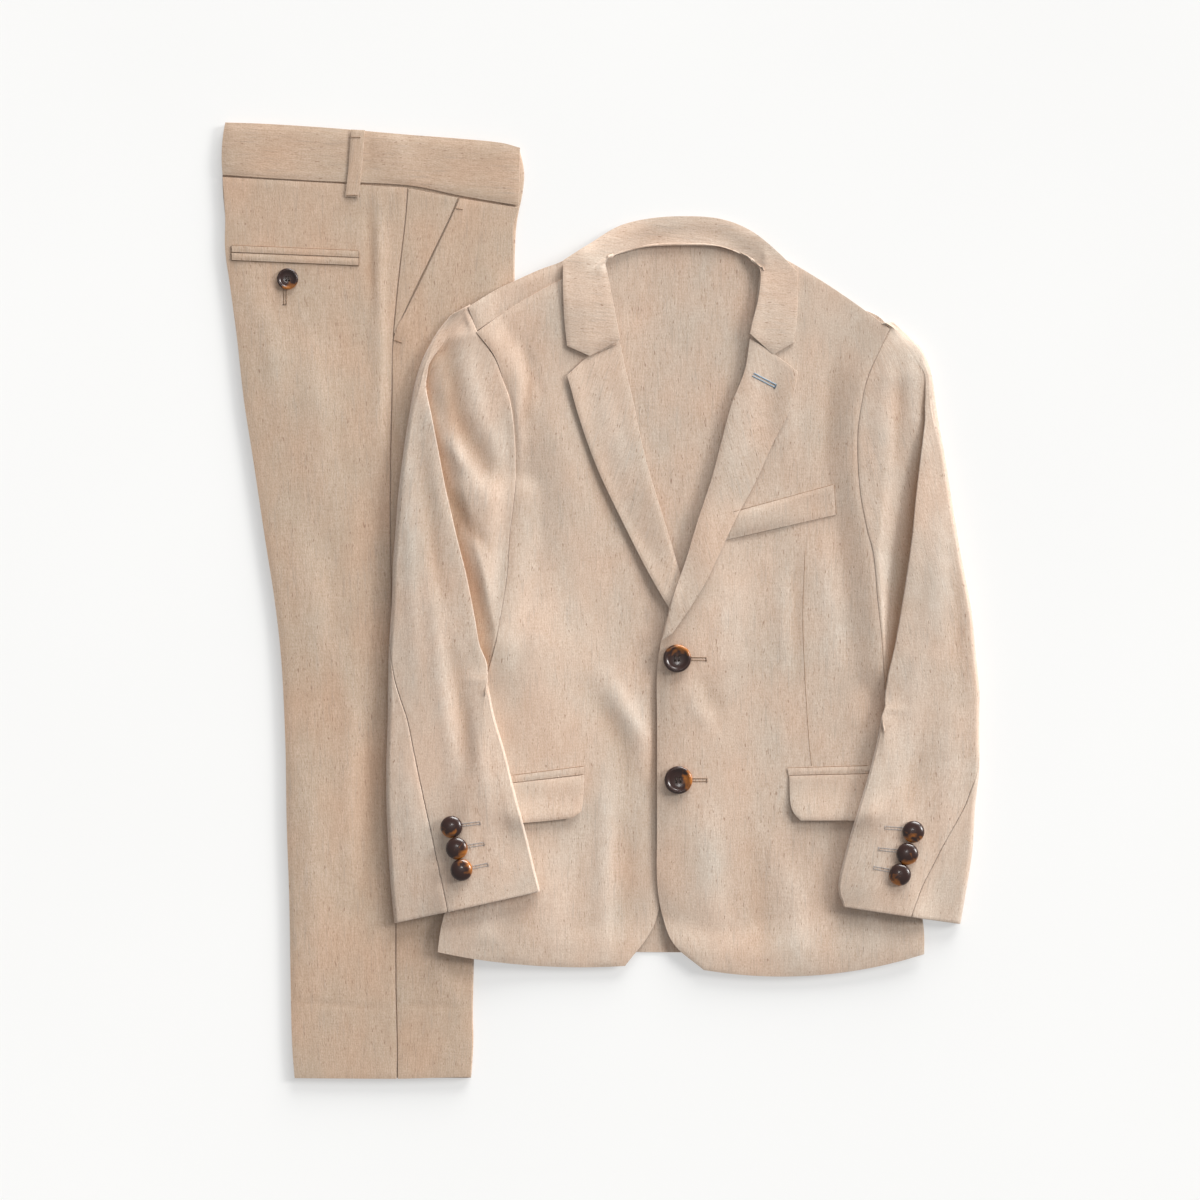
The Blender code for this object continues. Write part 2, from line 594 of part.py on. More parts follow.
def button(pile, name, place, diameter, finish):
    """A turned button with a raised rim and a dished middle, on the cloth under it."""
    radius = diameter / 2
    feelers = [ring(place, radius * reach, FEELER_TURNS) for reach in BUTTON_FEELERS]
    base = max(pile.top(*spot) for spot in np.concatenate(feelers))
    points, faces = [], []
    rings = list(zip(BUTTON_PROFILE["radius"] * radius, BUTTON_PROFILE["height"] * diameter))
    for ring_radius, height in rings:
        points += [(*spot, base + height) for spot in ring(place, ring_radius, BUTTON_SIDES)]
    points += [(*place, base), (*place, base + BUTTON_PROFILE["height"][-1] * diameter)]
    foot, crown = len(points) - 2, len(points) - 1
    for level in range(len(rings) - 1):
        for side in range(BUTTON_SIDES):
            a, b = level * BUTTON_SIDES + side, level * BUTTON_SIDES + (side + 1) % BUTTON_SIDES
            faces += [[a, b, b + BUTTON_SIDES], [a, b + BUTTON_SIDES, a + BUTTON_SIDES]]
    last = (len(rings) - 1) * BUTTON_SIDES
    for side in range(BUTTON_SIDES):
        after = (side + 1) % BUTTON_SIDES
        faces += [[foot, after, side], [crown, last + side, last + after]]
    pile.add(points, faces)
    return closed_object(name, points, faces, finish)


def trousers(pile, cloth):
    hidden_layers(pile, cloth)
    beside = SEAM_GAP / 2
    panel(
        pile, "trousers_back_leg", cloth, BACK_LEG, BACK_LEG_COLUMNS, TROUSER_CLOTH,
        BACK_LEG_FOLDS, LEG_PUFF, inset=(0.0, beside),
    )
    panel(
        pile, "trousers_pocket_bearer", cloth, POCKET_BEARER, STRIP_COLUMNS, TROUSER_CLOTH,
        inset=(SEAM_GAP, SEAM_GAP),
    )
    panel(
        pile, "trousers_front_leg", cloth, FRONT_LEG, FRONT_LEG_COLUMNS, TROUSER_CLOTH,
        FRONT_LEG_FOLDS, LEG_PUFF, inset=(SEAM_GAP, 0.0),
    )
    panel(
        pile, "trousers_waistband", cloth, WAISTBAND, WAISTBAND_COLUMNS, WAISTBAND_CLOTH,
        inset=(0.0, WAISTBAND_GAP),
    )
    panel(pile, "trousers_belt_loop", cloth, BELT_LOOP, STRIP_COLUMNS, WELT_CLOTH, puff=BELT_LOOP_PUFF)
    for name, left_y, right_y, depth in BACK_WELTS:
        drops = np.array([0, depth / 2, depth - SEAM_GAP])
        rows = [(BACK_WELT_LEFT, left_y - drop, BACK_WELT_RIGHT, right_y - drop, 0) for drop in drops]
        panel(pile, f"trousers_back_welt_{name}", cloth, table(SECTION, *rows), TRIM_COLUMNS, WELT_CLOTH)


def jacket(pile, cloth):
    beside = (ARMHOLE_GAP / 2, ARMHOLE_GAP / 2)
    sides = join(RIGHT_SIDE, LEFT_SIDE)
    sides["left_y"][-1] = BACK_HEM
    back = stacked(BACK_TOP, sides)
    panel(pile, "jacket_back", cloth, back, BACK_COLUMNS, JACKET_CLOTH, inset=beside)
    panel(
        pile, "jacket_back_shoulder_right", cloth, SHOULDER_STRIP, STRIP_COLUMNS, JACKET_CLOTH,
        inset=(SHOULDER_INSET, SEAM_GAP),
    )
    share = np.linspace(0, 1, TRIM_COLUMNS)
    down = np.linspace(0, 1, len(RIGHT_LAPEL["bow"]))[:, None]
    roll = LAPEL_ROLL * np.sin(np.pi * (LAPEL_ROLL_START + (1 - LAPEL_ROLL_START) * down))
    fronts = (
        ("right", join(part_of(RIGHT_SIDE, FRONT_TOP), RIGHT_FRONT_EDGE), RIGHT_FRONT_FOLDS,
         RIGHT_JET, RIGHT_FLAP, RIGHT_LAPEL, share**2),
        ("left", join(LEFT_FRONT_EDGE, part_of(LEFT_SIDE, FRONT_TOP)), LEFT_FRONT_FOLDS,
         LEFT_JET, LEFT_FLAP, LEFT_LAPEL, (1 - share) ** 2),
    )
    for side, front, folds, jet, flap, lapel, towards_roll in fronts:
        panel(
            pile, f"jacket_front_{side}", cloth, front, FRONT_COLUMNS, JACKET_CLOTH,
            folds, FRONT_PUFF, inset=beside,
        )
        panel(pile, f"jacket_jet_{side}", cloth, jet, TRIM_COLUMNS, WELT_CLOTH)
        panel(pile, f"jacket_flap_{side}", cloth, flap, TRIM_COLUMNS, JACKET_CLOTH)
        if side == "left":
            panel(pile, "jacket_breast_welt", cloth, BREAST_WELT, TRIM_COLUMNS, WELT_CLOTH)
        rise = roll * towards_roll
        panel(pile, f"jacket_lapel_{side}", cloth, lapel, TRIM_COLUMNS, JACKET_CLOTH, rise=rise)
    left_rise, right_rise = COLLAR["left_rise"][:, None], COLLAR["right_rise"][:, None]
    rise = left_rise * (1 - share) ** 2 + right_rise * share**2
    panel(pile, "jacket_collar", cloth, COLLAR, TRIM_COLUMNS, JACKET_CLOTH, rise=rise)
    sleeve(pile, "right", cloth, RIGHT_SLEEVE_HEAD, RIGHT_SIDE, RIGHT_SLEEVE_ARM)
    sleeve(pile, "left", cloth, LEFT_SLEEVE_HEAD, LEFT_SIDE, LEFT_SLEEVE_ARM)


def buttons(pile, finish):
    for name, (x, y, diameter) in BUTTONS.items():
        button(pile, name, (x, y), diameter, finish)
    for side, rows in (("right", RIGHT_CUFF_BUTTONS), ("left", LEFT_CUFF_BUTTONS)):
        for number, place in enumerate(rows, 1):
            button(pile, f"cuff_button_{side}_{number}", place, CUFF_BUTTON, finish)


def main():
    for old in list(bpy.data.objects):
        bpy.data.objects.remove(old, do_unlink=True)
    pile = Pile()
    trousers(pile, material("trouser_cloth", TROUSER_COLOUR, 0.85))
    jacket(pile, material("jacket_cloth", CLOTH_COLOUR, 0.85))
    buttons(pile, material("tortoiseshell_resin", BUTTON_COLOUR, 0.25))


main()
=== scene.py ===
"""A boys' two-piece suit laid flat: its linen-look cloth, sewing, buttons and studio.

Each piece of cloth is a thin wall laid over its solid, on the pile of pieces below it. Tables are in
millimetres, with X from the wearer's right to the left, Y from hem to collar and Z up.
"""

import math

import bmesh
import bpy
import numpy as np
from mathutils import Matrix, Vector, noise
from mathutils.bvhtree import BVHTree


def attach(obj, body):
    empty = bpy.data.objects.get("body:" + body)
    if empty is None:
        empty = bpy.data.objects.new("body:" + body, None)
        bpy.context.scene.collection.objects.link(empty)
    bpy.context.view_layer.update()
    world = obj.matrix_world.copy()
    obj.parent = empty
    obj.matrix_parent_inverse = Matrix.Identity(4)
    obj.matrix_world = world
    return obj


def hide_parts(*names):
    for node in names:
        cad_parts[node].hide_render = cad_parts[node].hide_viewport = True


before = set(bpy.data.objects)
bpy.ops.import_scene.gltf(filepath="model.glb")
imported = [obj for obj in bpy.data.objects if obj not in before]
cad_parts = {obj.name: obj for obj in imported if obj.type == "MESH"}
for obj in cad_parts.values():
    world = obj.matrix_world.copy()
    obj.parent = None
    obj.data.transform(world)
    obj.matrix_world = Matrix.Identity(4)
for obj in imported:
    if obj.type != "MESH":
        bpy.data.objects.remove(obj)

bl_info = {
    "name": "Two-piece suit, laid flat",
    "version": (1, 0, 0),
    "blender": (4, 5, 0),
    "location": "3D View > Sidebar > Suit",
    "description": "Cloth, sewing, buttons and studio for a boys' jacket and trousers laid flat",
    "category": "Object",
}

MM = 0.001
BODY = "root"
# The slot of each garment's cloth
SLOTS = {"jacket": "jacket_cloth", "trousers": "trouser_cloth"}


def table(columns, *rows):
    """Named columns of numbers."""
    return dict(zip(columns.split(), np.array(rows, float).T))


# ---------------------------------------------------------------- the cut and the lay, in millimetres

# X and Y of the four corners of each panel, in order round it; the first two end its first row
CORNERS = {
    "trousers_hidden_layers": (-280.5, 357, -61, 338.5, -97, -357.5, -228.5, -357.7),
    "trousers_back_leg": (-283, 317, -144.3, 309, -152.3, -358.5, -229, -358),
    "trousers_pocket_bearer": (-144, 308.5, -106.3, 301.5, -153.3, 200, -154.8, 200),
    "trousers_front_leg": (-105.5, 301, -61, 294, -97, -357, -152, -358.5),
    "trousers_waistband": (-281, 358, -60, 339, -61, 295, -283, 318),
    "trousers_belt_loop": (-186.5, 352.5, -176, 352, -181, 301.5, -191, 302),
    "trousers_back_welt_upper": (-276, 265.5, -181, 261.5, -181, 256.8, -276, 260.8),
    "trousers_back_welt_lower": (-276, 260, -181, 256, -181, 250.7, -276, 254.7),
    "jacket_back": (10, 276, 118, 272, 243, -265, -122, -263),
    "jacket_back_shoulder_right": (-99, 219.5, -8, 265, -9, 250, -92, 201),
    "jacket_front_right": (-93, 200, 3, 254, 19, -274, -122, -263),
    "jacket_jet_right": (-72, -132, -11, -124.5, -11, -130, -72, -137),
    "jacket_flap_right": (-71, -137.5, -12, -130.7, -21, -163, -69, -167),
    "jacket_lapel_right": (-25, 168, 15, 192, 67, 0, 52, -7),
    "jacket_front_left": (121, 265, 217, 203, 243, -265, 77, -277),
    "jacket_jet_left": (140, -126, 209, -124, 209, -129.5, 141, -131),
    "jacket_flap_left": (141.5, -131.6, 208, -130.2, 207, -165, 150, -165),
    "jacket_breast_welt": (100, 66, 175, 86.5, 176.5, 64, 89, 44),
    "jacket_lapel_left": (112, 196, 148, 171, 54, -25, 46, -30),
    "jacket_collar": (-25, 190, 15, 195, 112, 199.5, 145, 193),
}

# Sleeve sections from shoulder to cuff. `seam` is the hind-arm seam's distance from the outer edge,
# below 0 under it, and `fold` where the arm folds over, as a share across. The rest are heights: of
# the arm, of the valley beside its fold, and of the inner edge, which at the armhole is LEVEL where
# it is as high as the front.
SLEEVE = "outer_x outer_y inner_x inner_y seam fold arm valley end"
SLEEVES = {
    "right": table(
        SLEEVE,
        (-112, 213, -99, 219.5, -2, 0.50, 3.0, 3.0, 3.2), (-121, 202, -95, 209, -2, 0.40, 5.2, 5.2, 5.2),
        (-127, 192, -93, 200, -2, 0.30, 6.4, 6.4, 5.0), (-134, 178, -80, 183, -2, 0.08, 7.6, 6.2, 5.4),
        (-139, 161, -73, 165, -2, 0.094, 8.8, 4.4, 5.6), (-143, 138, -67, 146, -2, 0.19, 9.8, 3.2, 5.7),
        (-147, 112, -64, 116, -2, 0.284, 10.4, 2.5, 5.7), (-151, 80, -64, 83, -2, 0.385, 10.8, 2.1, 5.5),
        (-153, 53, -68, 49, -2, 0.50, 11.0, 1.4, 5.2), (-155, 26, -70, 19, -2, 0.61, 11.0, 1.2, 5.2),
        (-156, -4, -74, -7, -2, 0.71, 10.8, 1.2, 5.2), (-158, -34, -79, -34, 0, 0.82, 10.4, 1.4, 5.0),
        (-158.4, -50, -83, -48, 3, 0.92, 10.0, 2.4, 3.8), (-158.6, -60, -85.3, -58.5, 5, 0.95, 9.8, 3.8, 5.2),
        (-158.8, -70, -83, -67.5, 8, 0.95, 9.6, 9.4, 8.6), (-159, -91, -79.5, -85, 15, 0.9, 9.2, 9.2, 8.6),
        (-160, -121, -71, -114, 22, 0.9, 9.0, 9.0, 8.6), (-160, -150, -64, -142, 28, 0.9, 8.8, 8.8, 8.4),
        (-159, -176, -56, -172, 33, 0.9, 8.4, 8.4, 8.2), (-157, -210, -49, -201, 38, 0.9, 8.0, 8.0, 7.8),
        (-154, -241, -45, -217, 41, 0.9, 7.4, 7.4, 7.2),
    ),
    "left": table(
        SLEEVE,
        (220, 208.2, 212.1, 206.7, -2, 0.4, 2.4, 2.4, 2.4), (229, 200, 217, 203, -2, 0.4, 3.6, 3.6, 3.4),
        (240, 189, 210, 188, -2, 0.28, 6.0, 6.0, 5.2), (248, 171, 200, 165, -2, 0.09, 7.2, 7.0, 5.6),
        (253, 137, 194, 134, -2, 0.127, 7.8, 6.0, 5.7), (258, 109, 193, 109, -2, 0.246, 8.8, 4.6, 5.7),
        (263, 77, 195, 80, -2, 0.36, 9.8, 2.4, 5.7), (268, 47, 200, 53, -2, 0.47, 10.4, 1.6, 5.7),
        (273, 19, 205, 33, -2, 0.585, 10.6, 1.2, 5.7), (278, -7, 208, 0, -2, 0.706, 10.2, 1.4, 5.6),
        (281, -37, 210.5, -30, -2, 0.817, 9.8, 1.8, 5.0), (284, -67, 211.8, -60, -2, 0.915, 9.6, 2.6, 4.4),
        (284, -80, 211.4, -74, -2, 0.95, 9.6, 3.4, 5.0), (284, -90, 210.9, -84, -1, 0.95, 9.6, 4.8, 6.0),
        (284, -100, 209.2, -95, -1, 0.95, 9.5, 9.4, 8.7), (284, -126, 202, -126, 1, 0.9, 9.2, 9.2, 8.8),
        (281, -154, 193, -156, 8, 0.9, 9.0, 9.0, 8.6), (279, -186, 184, -187, 24, 0.9, 8.6, 8.6, 8.4),
        (275, -213, 178, -214, 34, 0.9, 8.2, 8.2, 8.0), (270, -242, 182, -229, 38, 0.9, 7.4, 7.4, 7.2),
    ),
}

# Where the cloth is held up: how far the lift reaches to either side of a line, its height, and X and Y
# of the places that the line runs through
LIFTS = {
    "jacket_back_shoulder_right": ((16, 3.6, -99, 219.5, -92, 201),),
    "jacket_front_right": (
        (20, 5.0, -93, 200, -73, 165, -64, 116, -64, 83, -70, 19, -79, -40),
        (26, 7.5, -64, 76, -70, 19, -77, -28), (16, 2.6, 3, 254, 20, 150, 45, 60, 62, 0, 40, -30),
        (12, 1.2, -94, 196, -50, 222, 0, 252), (26, 3.6, -122, -263, -60, -270, 19, -274),
    ),
    "jacket_front_left": (
        (18, 5.0, 217, 203, 200, 165, 193, 109, 200, 53, 208, 0, 212, -50),
        (16, 3.0, 118, 262, 104, 150, 76, 60, 52, -8, 46, -40), (9, 1.4, 46, -60, 44, -140, 46, -200, 60, -262),
        (28, 4.6, 60, -264, 77, -277, 160, -275, 243, -265),
    ),
    "jacket_lapel_right": ((12, 2.2, -25, 168, -10, 100, 20, 40, 50, -4),),
    "jacket_lapel_left": ((12, 1.8, 148, 171, 128, 96, 90, 30, 54, -25),),
    "jacket_collar": (
        (8, 1.2, -28, 250, -28, 215, -25, 190, -14, 185),
        (10, 2.0, 15, 195, 16, 230, 40, 262, 62, 268, 90, 262, 112, 235, 112, 199),
    ),
    "jacket_flap_left": ((16, 2.6, 150, -165, 180, -166, 207, -165),),
    "jacket_flap_right": ((16, 2.6, -69, -167, -45, -166, -21, -163),),
    "jacket_breast_welt": ((8, 0.9, 100, 66, 140, 77, 175, 86.5),),
    "trousers_belt_loop": ((12, 0.5, -182, 345, -184, 325, -187, 308),),
    "trousers_front_leg": ((6, 1.1, -106, 296, -128, 250, -153, 203),),
}

# How wide the turn of a piece's edges is, where it isn't the usual
EDGES = {
    "jacket_lapel_right": 2.5, "jacket_lapel_left": 2.5, "jacket_collar": 2.5, "trousers_waistband": 4.0,
    "jacket_back": 9.0, "trousers_belt_loop": 1.5, "jacket_flap_right": 2.5, "jacket_flap_left": 2.5,
}

# How much of its solid's loft a piece keeps, where it isn't all of it
LOFT = {"jacket_lapel_right": 0.3, "jacket_lapel_left": 0.3, "jacket_collar": 0.5}

# Creases: the width to the left and to the right of a line, the height, which is negative in a
# trough, and X and Y of the places that the line runs through
CREASES = {
    "jacket_front_right": (
        (7, 9, 1.5, 6, -58, 18, -79, 29, -98, 35, -116), (9, 8, -0.9, -8, -66, 6, -88, 17, -112, 22, -150),
        (5, 9, 1.1, 4, -128, 5, -170, 4, -220, 5, -272), (8, 7, -0.7, 17, -150, 20, -200, 20, -255),
        (6, 5, -0.8, 40, -62, 40, -120, 38, -190), (5, 5, -0.8, -56, 192, -54, 160, -55, 128),
        (5, 5, 0.7, -63, 180, -62, 140, -60, 105), (6, 8, -0.7, -12, 118, 2, 76, 18, 40),
        (16, 16, 0.4, -55, 40, -50, -30, -45, -90), (12, 14, 0.8, -30, -180, -34, -225, -32, -268),
        (9, 12, 0.8, -75, -190, -82, -230, -86, -262),
    ),
    "jacket_front_left": (
        (7, 9, -0.6, 76, -54, 82, -72, 90, -88), (8, 6, 0.6, 66, -60, 72, -80, 84, -100),
        (12, 14, 0.8, 104, 20, 96, -20, 98, -60), (5, 7, -0.6, 147, 34, 146, -10, 148, -60),
        (6, 5, 0.6, 139, 20, 138, -20, 139, -50), (10, 9, 0.8, 168, 40, 172, -10, 176, -60),
        (9, 11, 0.9, 134, -190, 146, -228, 150, -268), (9, 9, -0.7, 112, -172, 118, -220, 120, -270),
        (9, 12, 0.8, 82, -150, 84, -205, 92, -262), (9, 9, 0.7, 190, -172, 200, -215, 206, -258),
        (8, 10, 0.7, 135, 190, 140, 150, 142, 110), (8, 8, -0.6, 176, 180, 172, 140, 170, 100),
    ),
    "trousers_back_leg": (
        (3.5, 4, -1.0, -171.5, 308, -171.5, 270, -171, 215),
        (4, 6, 0.9, -166, 300, -165, 250, -164, 180, -166, 90), (12, 10, 0.8, -262, 240, -246, 190, -236, 120),
        (12, 14, 0.7, -215, 210, -212, 140, -204, 60), (12, 14, 0.9, -228, 60, -214, 10, -205, -50),
        (10, 8, 0.9, -190, -40, -186, -110, -188, -220), (8, 9, -0.8, -173, -90, -174, -160, -179, -250),
        (12, 12, 0.7, -222, -120, -216, -200, -212, -290), (2, 2, -0.25, -236, -300, -195, -303, -153, -306),
    ),
    "trousers_front_leg": (
        (8, 8, 0.7, -76, 250, -82, 220, -90, 195), (12, 12, 0.8, -128, 150, -134, 60, -136, -20),
        (6, 9, 0.7, -128, -262, -116, -285, -104, -300), (2, 2, -0.25, -152, -303, -125, -304, -96, -305),
    ),
    "trousers_waistband": (
        (5, 6, -0.4, -172, 350, -172, 330, -172, 312), (10, 10, 0.4, -150, 345, -148, 330, -147, 314),
    ),
    "jacket_lapel_left": ((8, 10, 0.5, 122, 180, 112, 140, 100, 96),),
    "jacket_lapel_right": ((8, 8, 0.5, 0, 168, 8, 130, 24, 84),),
    "sleeve_right": (
        (8, 8, -1.7, -116, 200, -112, 165, -107, 136, -90, 107, -76, 88),
        (6, 6, 1.3, -128, 150, -118, 124, -100, 98, -86, 74),
        (6, 8, 0.8, -100, 196, -95, 160, -84, 126, -74, 108),
        (6, 6, -1.3, -113, 86, -106, 68, -95, 50, -84, 40), (6, 6, 0.6, -104, 58, -92, 30, -82, 4),
        (5, 4, -1.0, -96, 20, -88, -10, -84, -44), (6, 6, -1.0, -134, 110, -128, 70, -123, 30, -116, -8),
        (6, 6, 0.8, -145, 120, -143, 60, -140, 0, -137, -60),
        (6, 6, 1.0, -127, 20, -121, -40, -113, -100, -106, -150), (5, 6, -0.9, -112, -30, -103, -80, -97, -130),
        (6, 6, 0.7, -98, -60, -90, -110, -82, -160, -76, -196), (7, 7, 0.6, -146, -100, -142, -150, -136, -200),
    ),
    "sleeve_left": (
        (6, 8, 0.9, 232, 180, 236, 140, 240, 100), (7, 7, 0.8, 216, 176, 212, 140, 210, 104),
        (5, 5, -0.9, 224, 170, 222, 130, 220, 96), (6, 5, -0.8, 226, 60, 222, 20, 218, -20),
        (8, 10, 0.8, 252, 80, 254, 20, 252, -40), (6, 6, -0.6, 264, 30, 268, -30, 270, -80),
        (8, 8, 0.7, 236, -20, 234, -80, 222, -140), (9, 9, 0.7, 262, -90, 262, -140, 256, -200),
        (6, 6, -0.6, 240, -110, 232, -140, 226, -160),
    ),
}

# The angle of each piece's grain from the length of the suit in degrees, where it isn't 0
GRAIN = {
    "trousers_waistband": 87.0, "trousers_front_leg": -2.0, "trousers_back_leg": 2.0,
    "trousers_belt_loop": -6.0, "trousers_back_welt_upper": 2.0, "jacket_lapel_right": -16.0,
    "jacket_lapel_left": 14.0, "jacket_collar": 84.0, "jacket_breast_welt": 3.0,
}

# The trousers' inner layers: how high they are, and how much thinner at their folded edges, over what
# distance. Then their edge: the nose of each of three layers and the grooves between them, as the share
# of the way down and how far out.
LAYERS_TOP, LAYERS_FALL, LAYERS_REACH = 5.4, 2.0, 9.0
LAYERS_EDGE = (
    (0.05, 0.7), (0.16, 1.1), (0.28, 0.6), (0.33, 0.0), (0.38, 0.5), (0.5, 0.9), (0.61, 0.4),
    (0.66, -0.1), (0.71, 0.5), (0.84, 0.8), (0.96, 0.3),
)
# A sheet's rim: share of the way from its upper to its under side, and how far out, in half its thickness
SHEET_RIM = ((0.18, 0.75), (0.5, 1.0), (0.82, 0.75))

# Panels: the air under them, how many rounds of settling firm cloth takes, how far its solid's steps are
# smoothed, how wide the turn of an edge usually is, how far in a neighbour's edge is overlooked, and how
# soft its forms are
LAY_GAP = 0.15
FIRMNESS = 110
FLAT_REACH, EDGE_REACH, SEAM_MARGIN, SOFTNESS = 5.0, 3.5, 5.0, 5.0
# How far a panel's rim stands out round it, as a share of its thickness
PANEL_RIM = 0.15
# A sheet's side may not be under 10 mm, so a narrower one is stated as this, in metres
NARROWEST = 0.0101
# A height above everything, from which heights are felt
OVERHEAD = 500.0
# A line turns a corner where it bends by more than this, in degrees
CORNER = 35.0
# The share of a panel over which its solid only stands off the pile, in percent
STANDS_OFF = 12
# Fold height, in millimetres, from a trough painted darkest as shade to a ridge painted palest as light
PAINTED_SHADE_RANGE = 3.2

# Sleeves: radius of the outer edge, and of the inner edge at the armhole and on the forearm
SLEEVE_EDGE, ARMHOLE_EDGE, FOREARM_EDGE = 3.6, 1.1, 1.7
# How much higher a sleeve is along its middle
SLEEVE_CROWN = 1.2
# The fold: how wide its drop is, how wide the valley beside it is, how it rises, from under 1 for at once
# to over 1 for late, and the painted shade in the valley beside it: how deep, in millimetres, and how far off
FOLD_DROP = 0.9
VALLEY_DIP = {"right": 15.0, "left": 26.0}
VALLEY_SHAPE = {"right": 1.1, "left": 1.9}
VALLEY_SHADE, VALLEY_SPREAD = 2.2, 7.0
# How far the fold hangs over the valley, how much further where the valley ends, and from how far off
FOLD_LEAN, FOLD_COVER, LEAN_START = 2.6, 2.0, 9.0
# The height of an inner edge that is as high as the front, and that below which it ends at the armhole
LEVEL, ARMHOLE_TOP = 5.6, 6.2
# How high the flattened end of the sleeve head stands, how far it is tucked under the shoulder, and how
# far down it has come to rest
HEAD_LIFT, HEAD_TUCK, HEAD_REACH = 2.8, 0.7, 16.0
# How far across the under side of a sleeve its forearm seam runs, and half the air in a seam
FOREARM = 0.75
SEAM_AIR = 0.12
# Each sleeve's own unevenness, and the place on the cloth that it is cut from
SLEEVE_CUT = {"right": (3.0, 200.0), "left": (8.0, 900.0)}

# ---------------------------------------------------------------- settings that a user would change


def length(name, description, default, low=0.0, high=10.0):
    return bpy.props.FloatProperty(
        name=name, description=description, default=default, min=low, max=high, unit="LENGTH", precision=5
    )


def number(name, description, default):
    return bpy.props.FloatProperty(name=name, description=description, default=default, min=0.0)


def angle(name, description, degrees):
    return bpy.props.FloatProperty(
        name=name, description=description, default=math.radians(degrees), unit="ROTATION"
    )


def colour(name, description, default):
    return bpy.props.StringProperty(name=name, description=description, default=default, maxlen=7)


class SUIT_PG_cloth(bpy.types.PropertyGroup):
    """Sizes and colours of the cloth."""

    body_thickness: length("Body cloth", "Thickness of the fronts, back, sleeves and legs", 0.0011)
    edge_thickness: length("Edge cloth", "Thickness of lapels, collar, flaps and waistband", 0.0013)
    welt_thickness: length("Welt cloth", "Thickness of jets, welts and the belt loop", 0.0007)
    body_cell: length("Body mesh", "Mesh spacing of the large panels", 0.0022, 0.0008)
    trim_cell: length("Trim mesh", "Mesh spacing of the small pieces", 0.0013, 0.0006)
    hidden_cell: length("Hidden mesh", "Mesh spacing of what is mostly covered", 0.0045, 0.002)
    crease_depth: number("Creases", "How deep the creases are, as a share", 1.0)
    rumple: length("Rumple", "Height of the cloth's soft unevenness", 0.00045, 0.0, 0.003)
    rumple_size: length("Rumple size", "Distance between its rises", 0.055, 0.01, 0.3)
    jacket_light: colour("Jacket, light yarn", "Colour of the jacket's pale yarns", "#E4DACF")
    jacket_dark: colour("Jacket, dark yarn", "Colour of the jacket's darker yarns", "#C9B5A3")
    trouser_light: colour("Trousers, light yarn", "Colour of the trousers' pale yarns", "#DBCAB9")
    trouser_dark: colour("Trousers, dark yarn", "Colour of the trousers' darker yarns", "#BFA891")
    slub: colour("Slubs", "Colour of the dark flecks in both cloths", "#8C6648")
    ash: colour("Ash yarn", "Colour of the grey yarns in both cloths", "#A39B94")


class SUIT_PG_buttons(bpy.types.PropertyGroup):
    """Sizes and colours of the buttons."""

    front_diameter: length("Front buttons", "Diameter", 0.021, 0.005)
    cuff_diameter: length("Cuff buttons", "Diameter", 0.0165, 0.005)
    pocket_diameter: length("Pocket button", "Diameter", 0.016, 0.005)
    hole: length("Holes", "Diameter of a sewing hole", 0.0018, 0.0005)
    amber: colour("Amber", "Light patches of the resin", "#A8631A")
    brown: colour("Brown", "Dark patches of the resin", "#2C120A")


class SUIT_PG_sewing(bpy.types.PropertyGroup):
    """Sizes and colours of the sewing."""

    thread: length("Thread", "Thickness of a stitch", 0.0005, 0.0001)
    self_colour: colour("Self thread", "Seams, bar tacks and front buttonholes", "#9C7A5E")
    lapel_colour: colour("Lapel thread", "The lapel's buttonhole", "#93ADC2")
    cuff_colour: colour("Cuff thread", "The cuffs' buttonholes", "#A3A6AC")
    button_colour: colour("Button thread", "What the buttons are sewn on with", "#3B2A20")


class SUIT_PG_studio(bpy.types.PropertyGroup):
    """Camera and light. A light's height is its angle above the table, its side from the right."""

    camera_height: length("Camera height", "Above the table", 4.0, 1.0)
    lens: number("Lens", "Focal length in millimetres", 160.0)
    key: number("Key light", "Strength of a softbox beside the table", 2.1)
    key_height: angle("Key height", "Angle above the table", 28)
    key_side: angle("Key side", "Angle from the right side", 20)
    key_softness: angle("Key softness", "How wide it looks", 20)
    broad: number("Broad light", "Strength of a wide diffuser beyond the table's top edge", 5.8)
    broad_height: angle("Broad height", "Angle above the table", 10.5)
    broad_side: angle("Broad side", "Angle from the right side", 70)
    broad_softness: angle("Broad softness", "How wide it looks", 44)
    top: number("Top light", "Strength of a small window overhead", 0.12)
    top_height: angle("Top height", "Angle above the table", 84)
    top_side: angle("Top side", "Angle from the right side", 90)
    top_softness: angle("Top softness", "How wide it looks", 5.2)
    sky: number("Sky", "Strength of the light from all round", 0.36)
    table_glow: number("Table glow", "Light from the table itself", 0.40)
    floor_colour: colour("Table", "Colour of the table", "#C0C0BF")


# ---------------------------------------------------------------- materials


def linear(code):
    """An sRGB hex colour as linear RGBA."""
    parts = [int(code[start : start + 2], 16) / 255 for start in (1, 3, 5)]
    return (*(part / 12.92 if part <= 0.04045 else ((part + 0.055) / 1.055) ** 2.4 for part in parts), 1.0)


def add(tree, kind, settings=None, links=None):
    """Adds a shader node. Settings are sockets or properties. A link comes from another node, by its
    first output or by one that is named with it."""
    made = tree.nodes.new("ShaderNode" + kind)
    for name, value in (settings or {}).items():
        if isinstance(name, int) or name in made.inputs:
            made.inputs[name].default_value = value
        else:
            setattr(made, name, value)
    for name, source in (links or {}).items():
        source, output = source if isinstance(source, tuple) else (source, 0)
        tree.links.new(source.outputs[output], made.inputs[name])
    return made


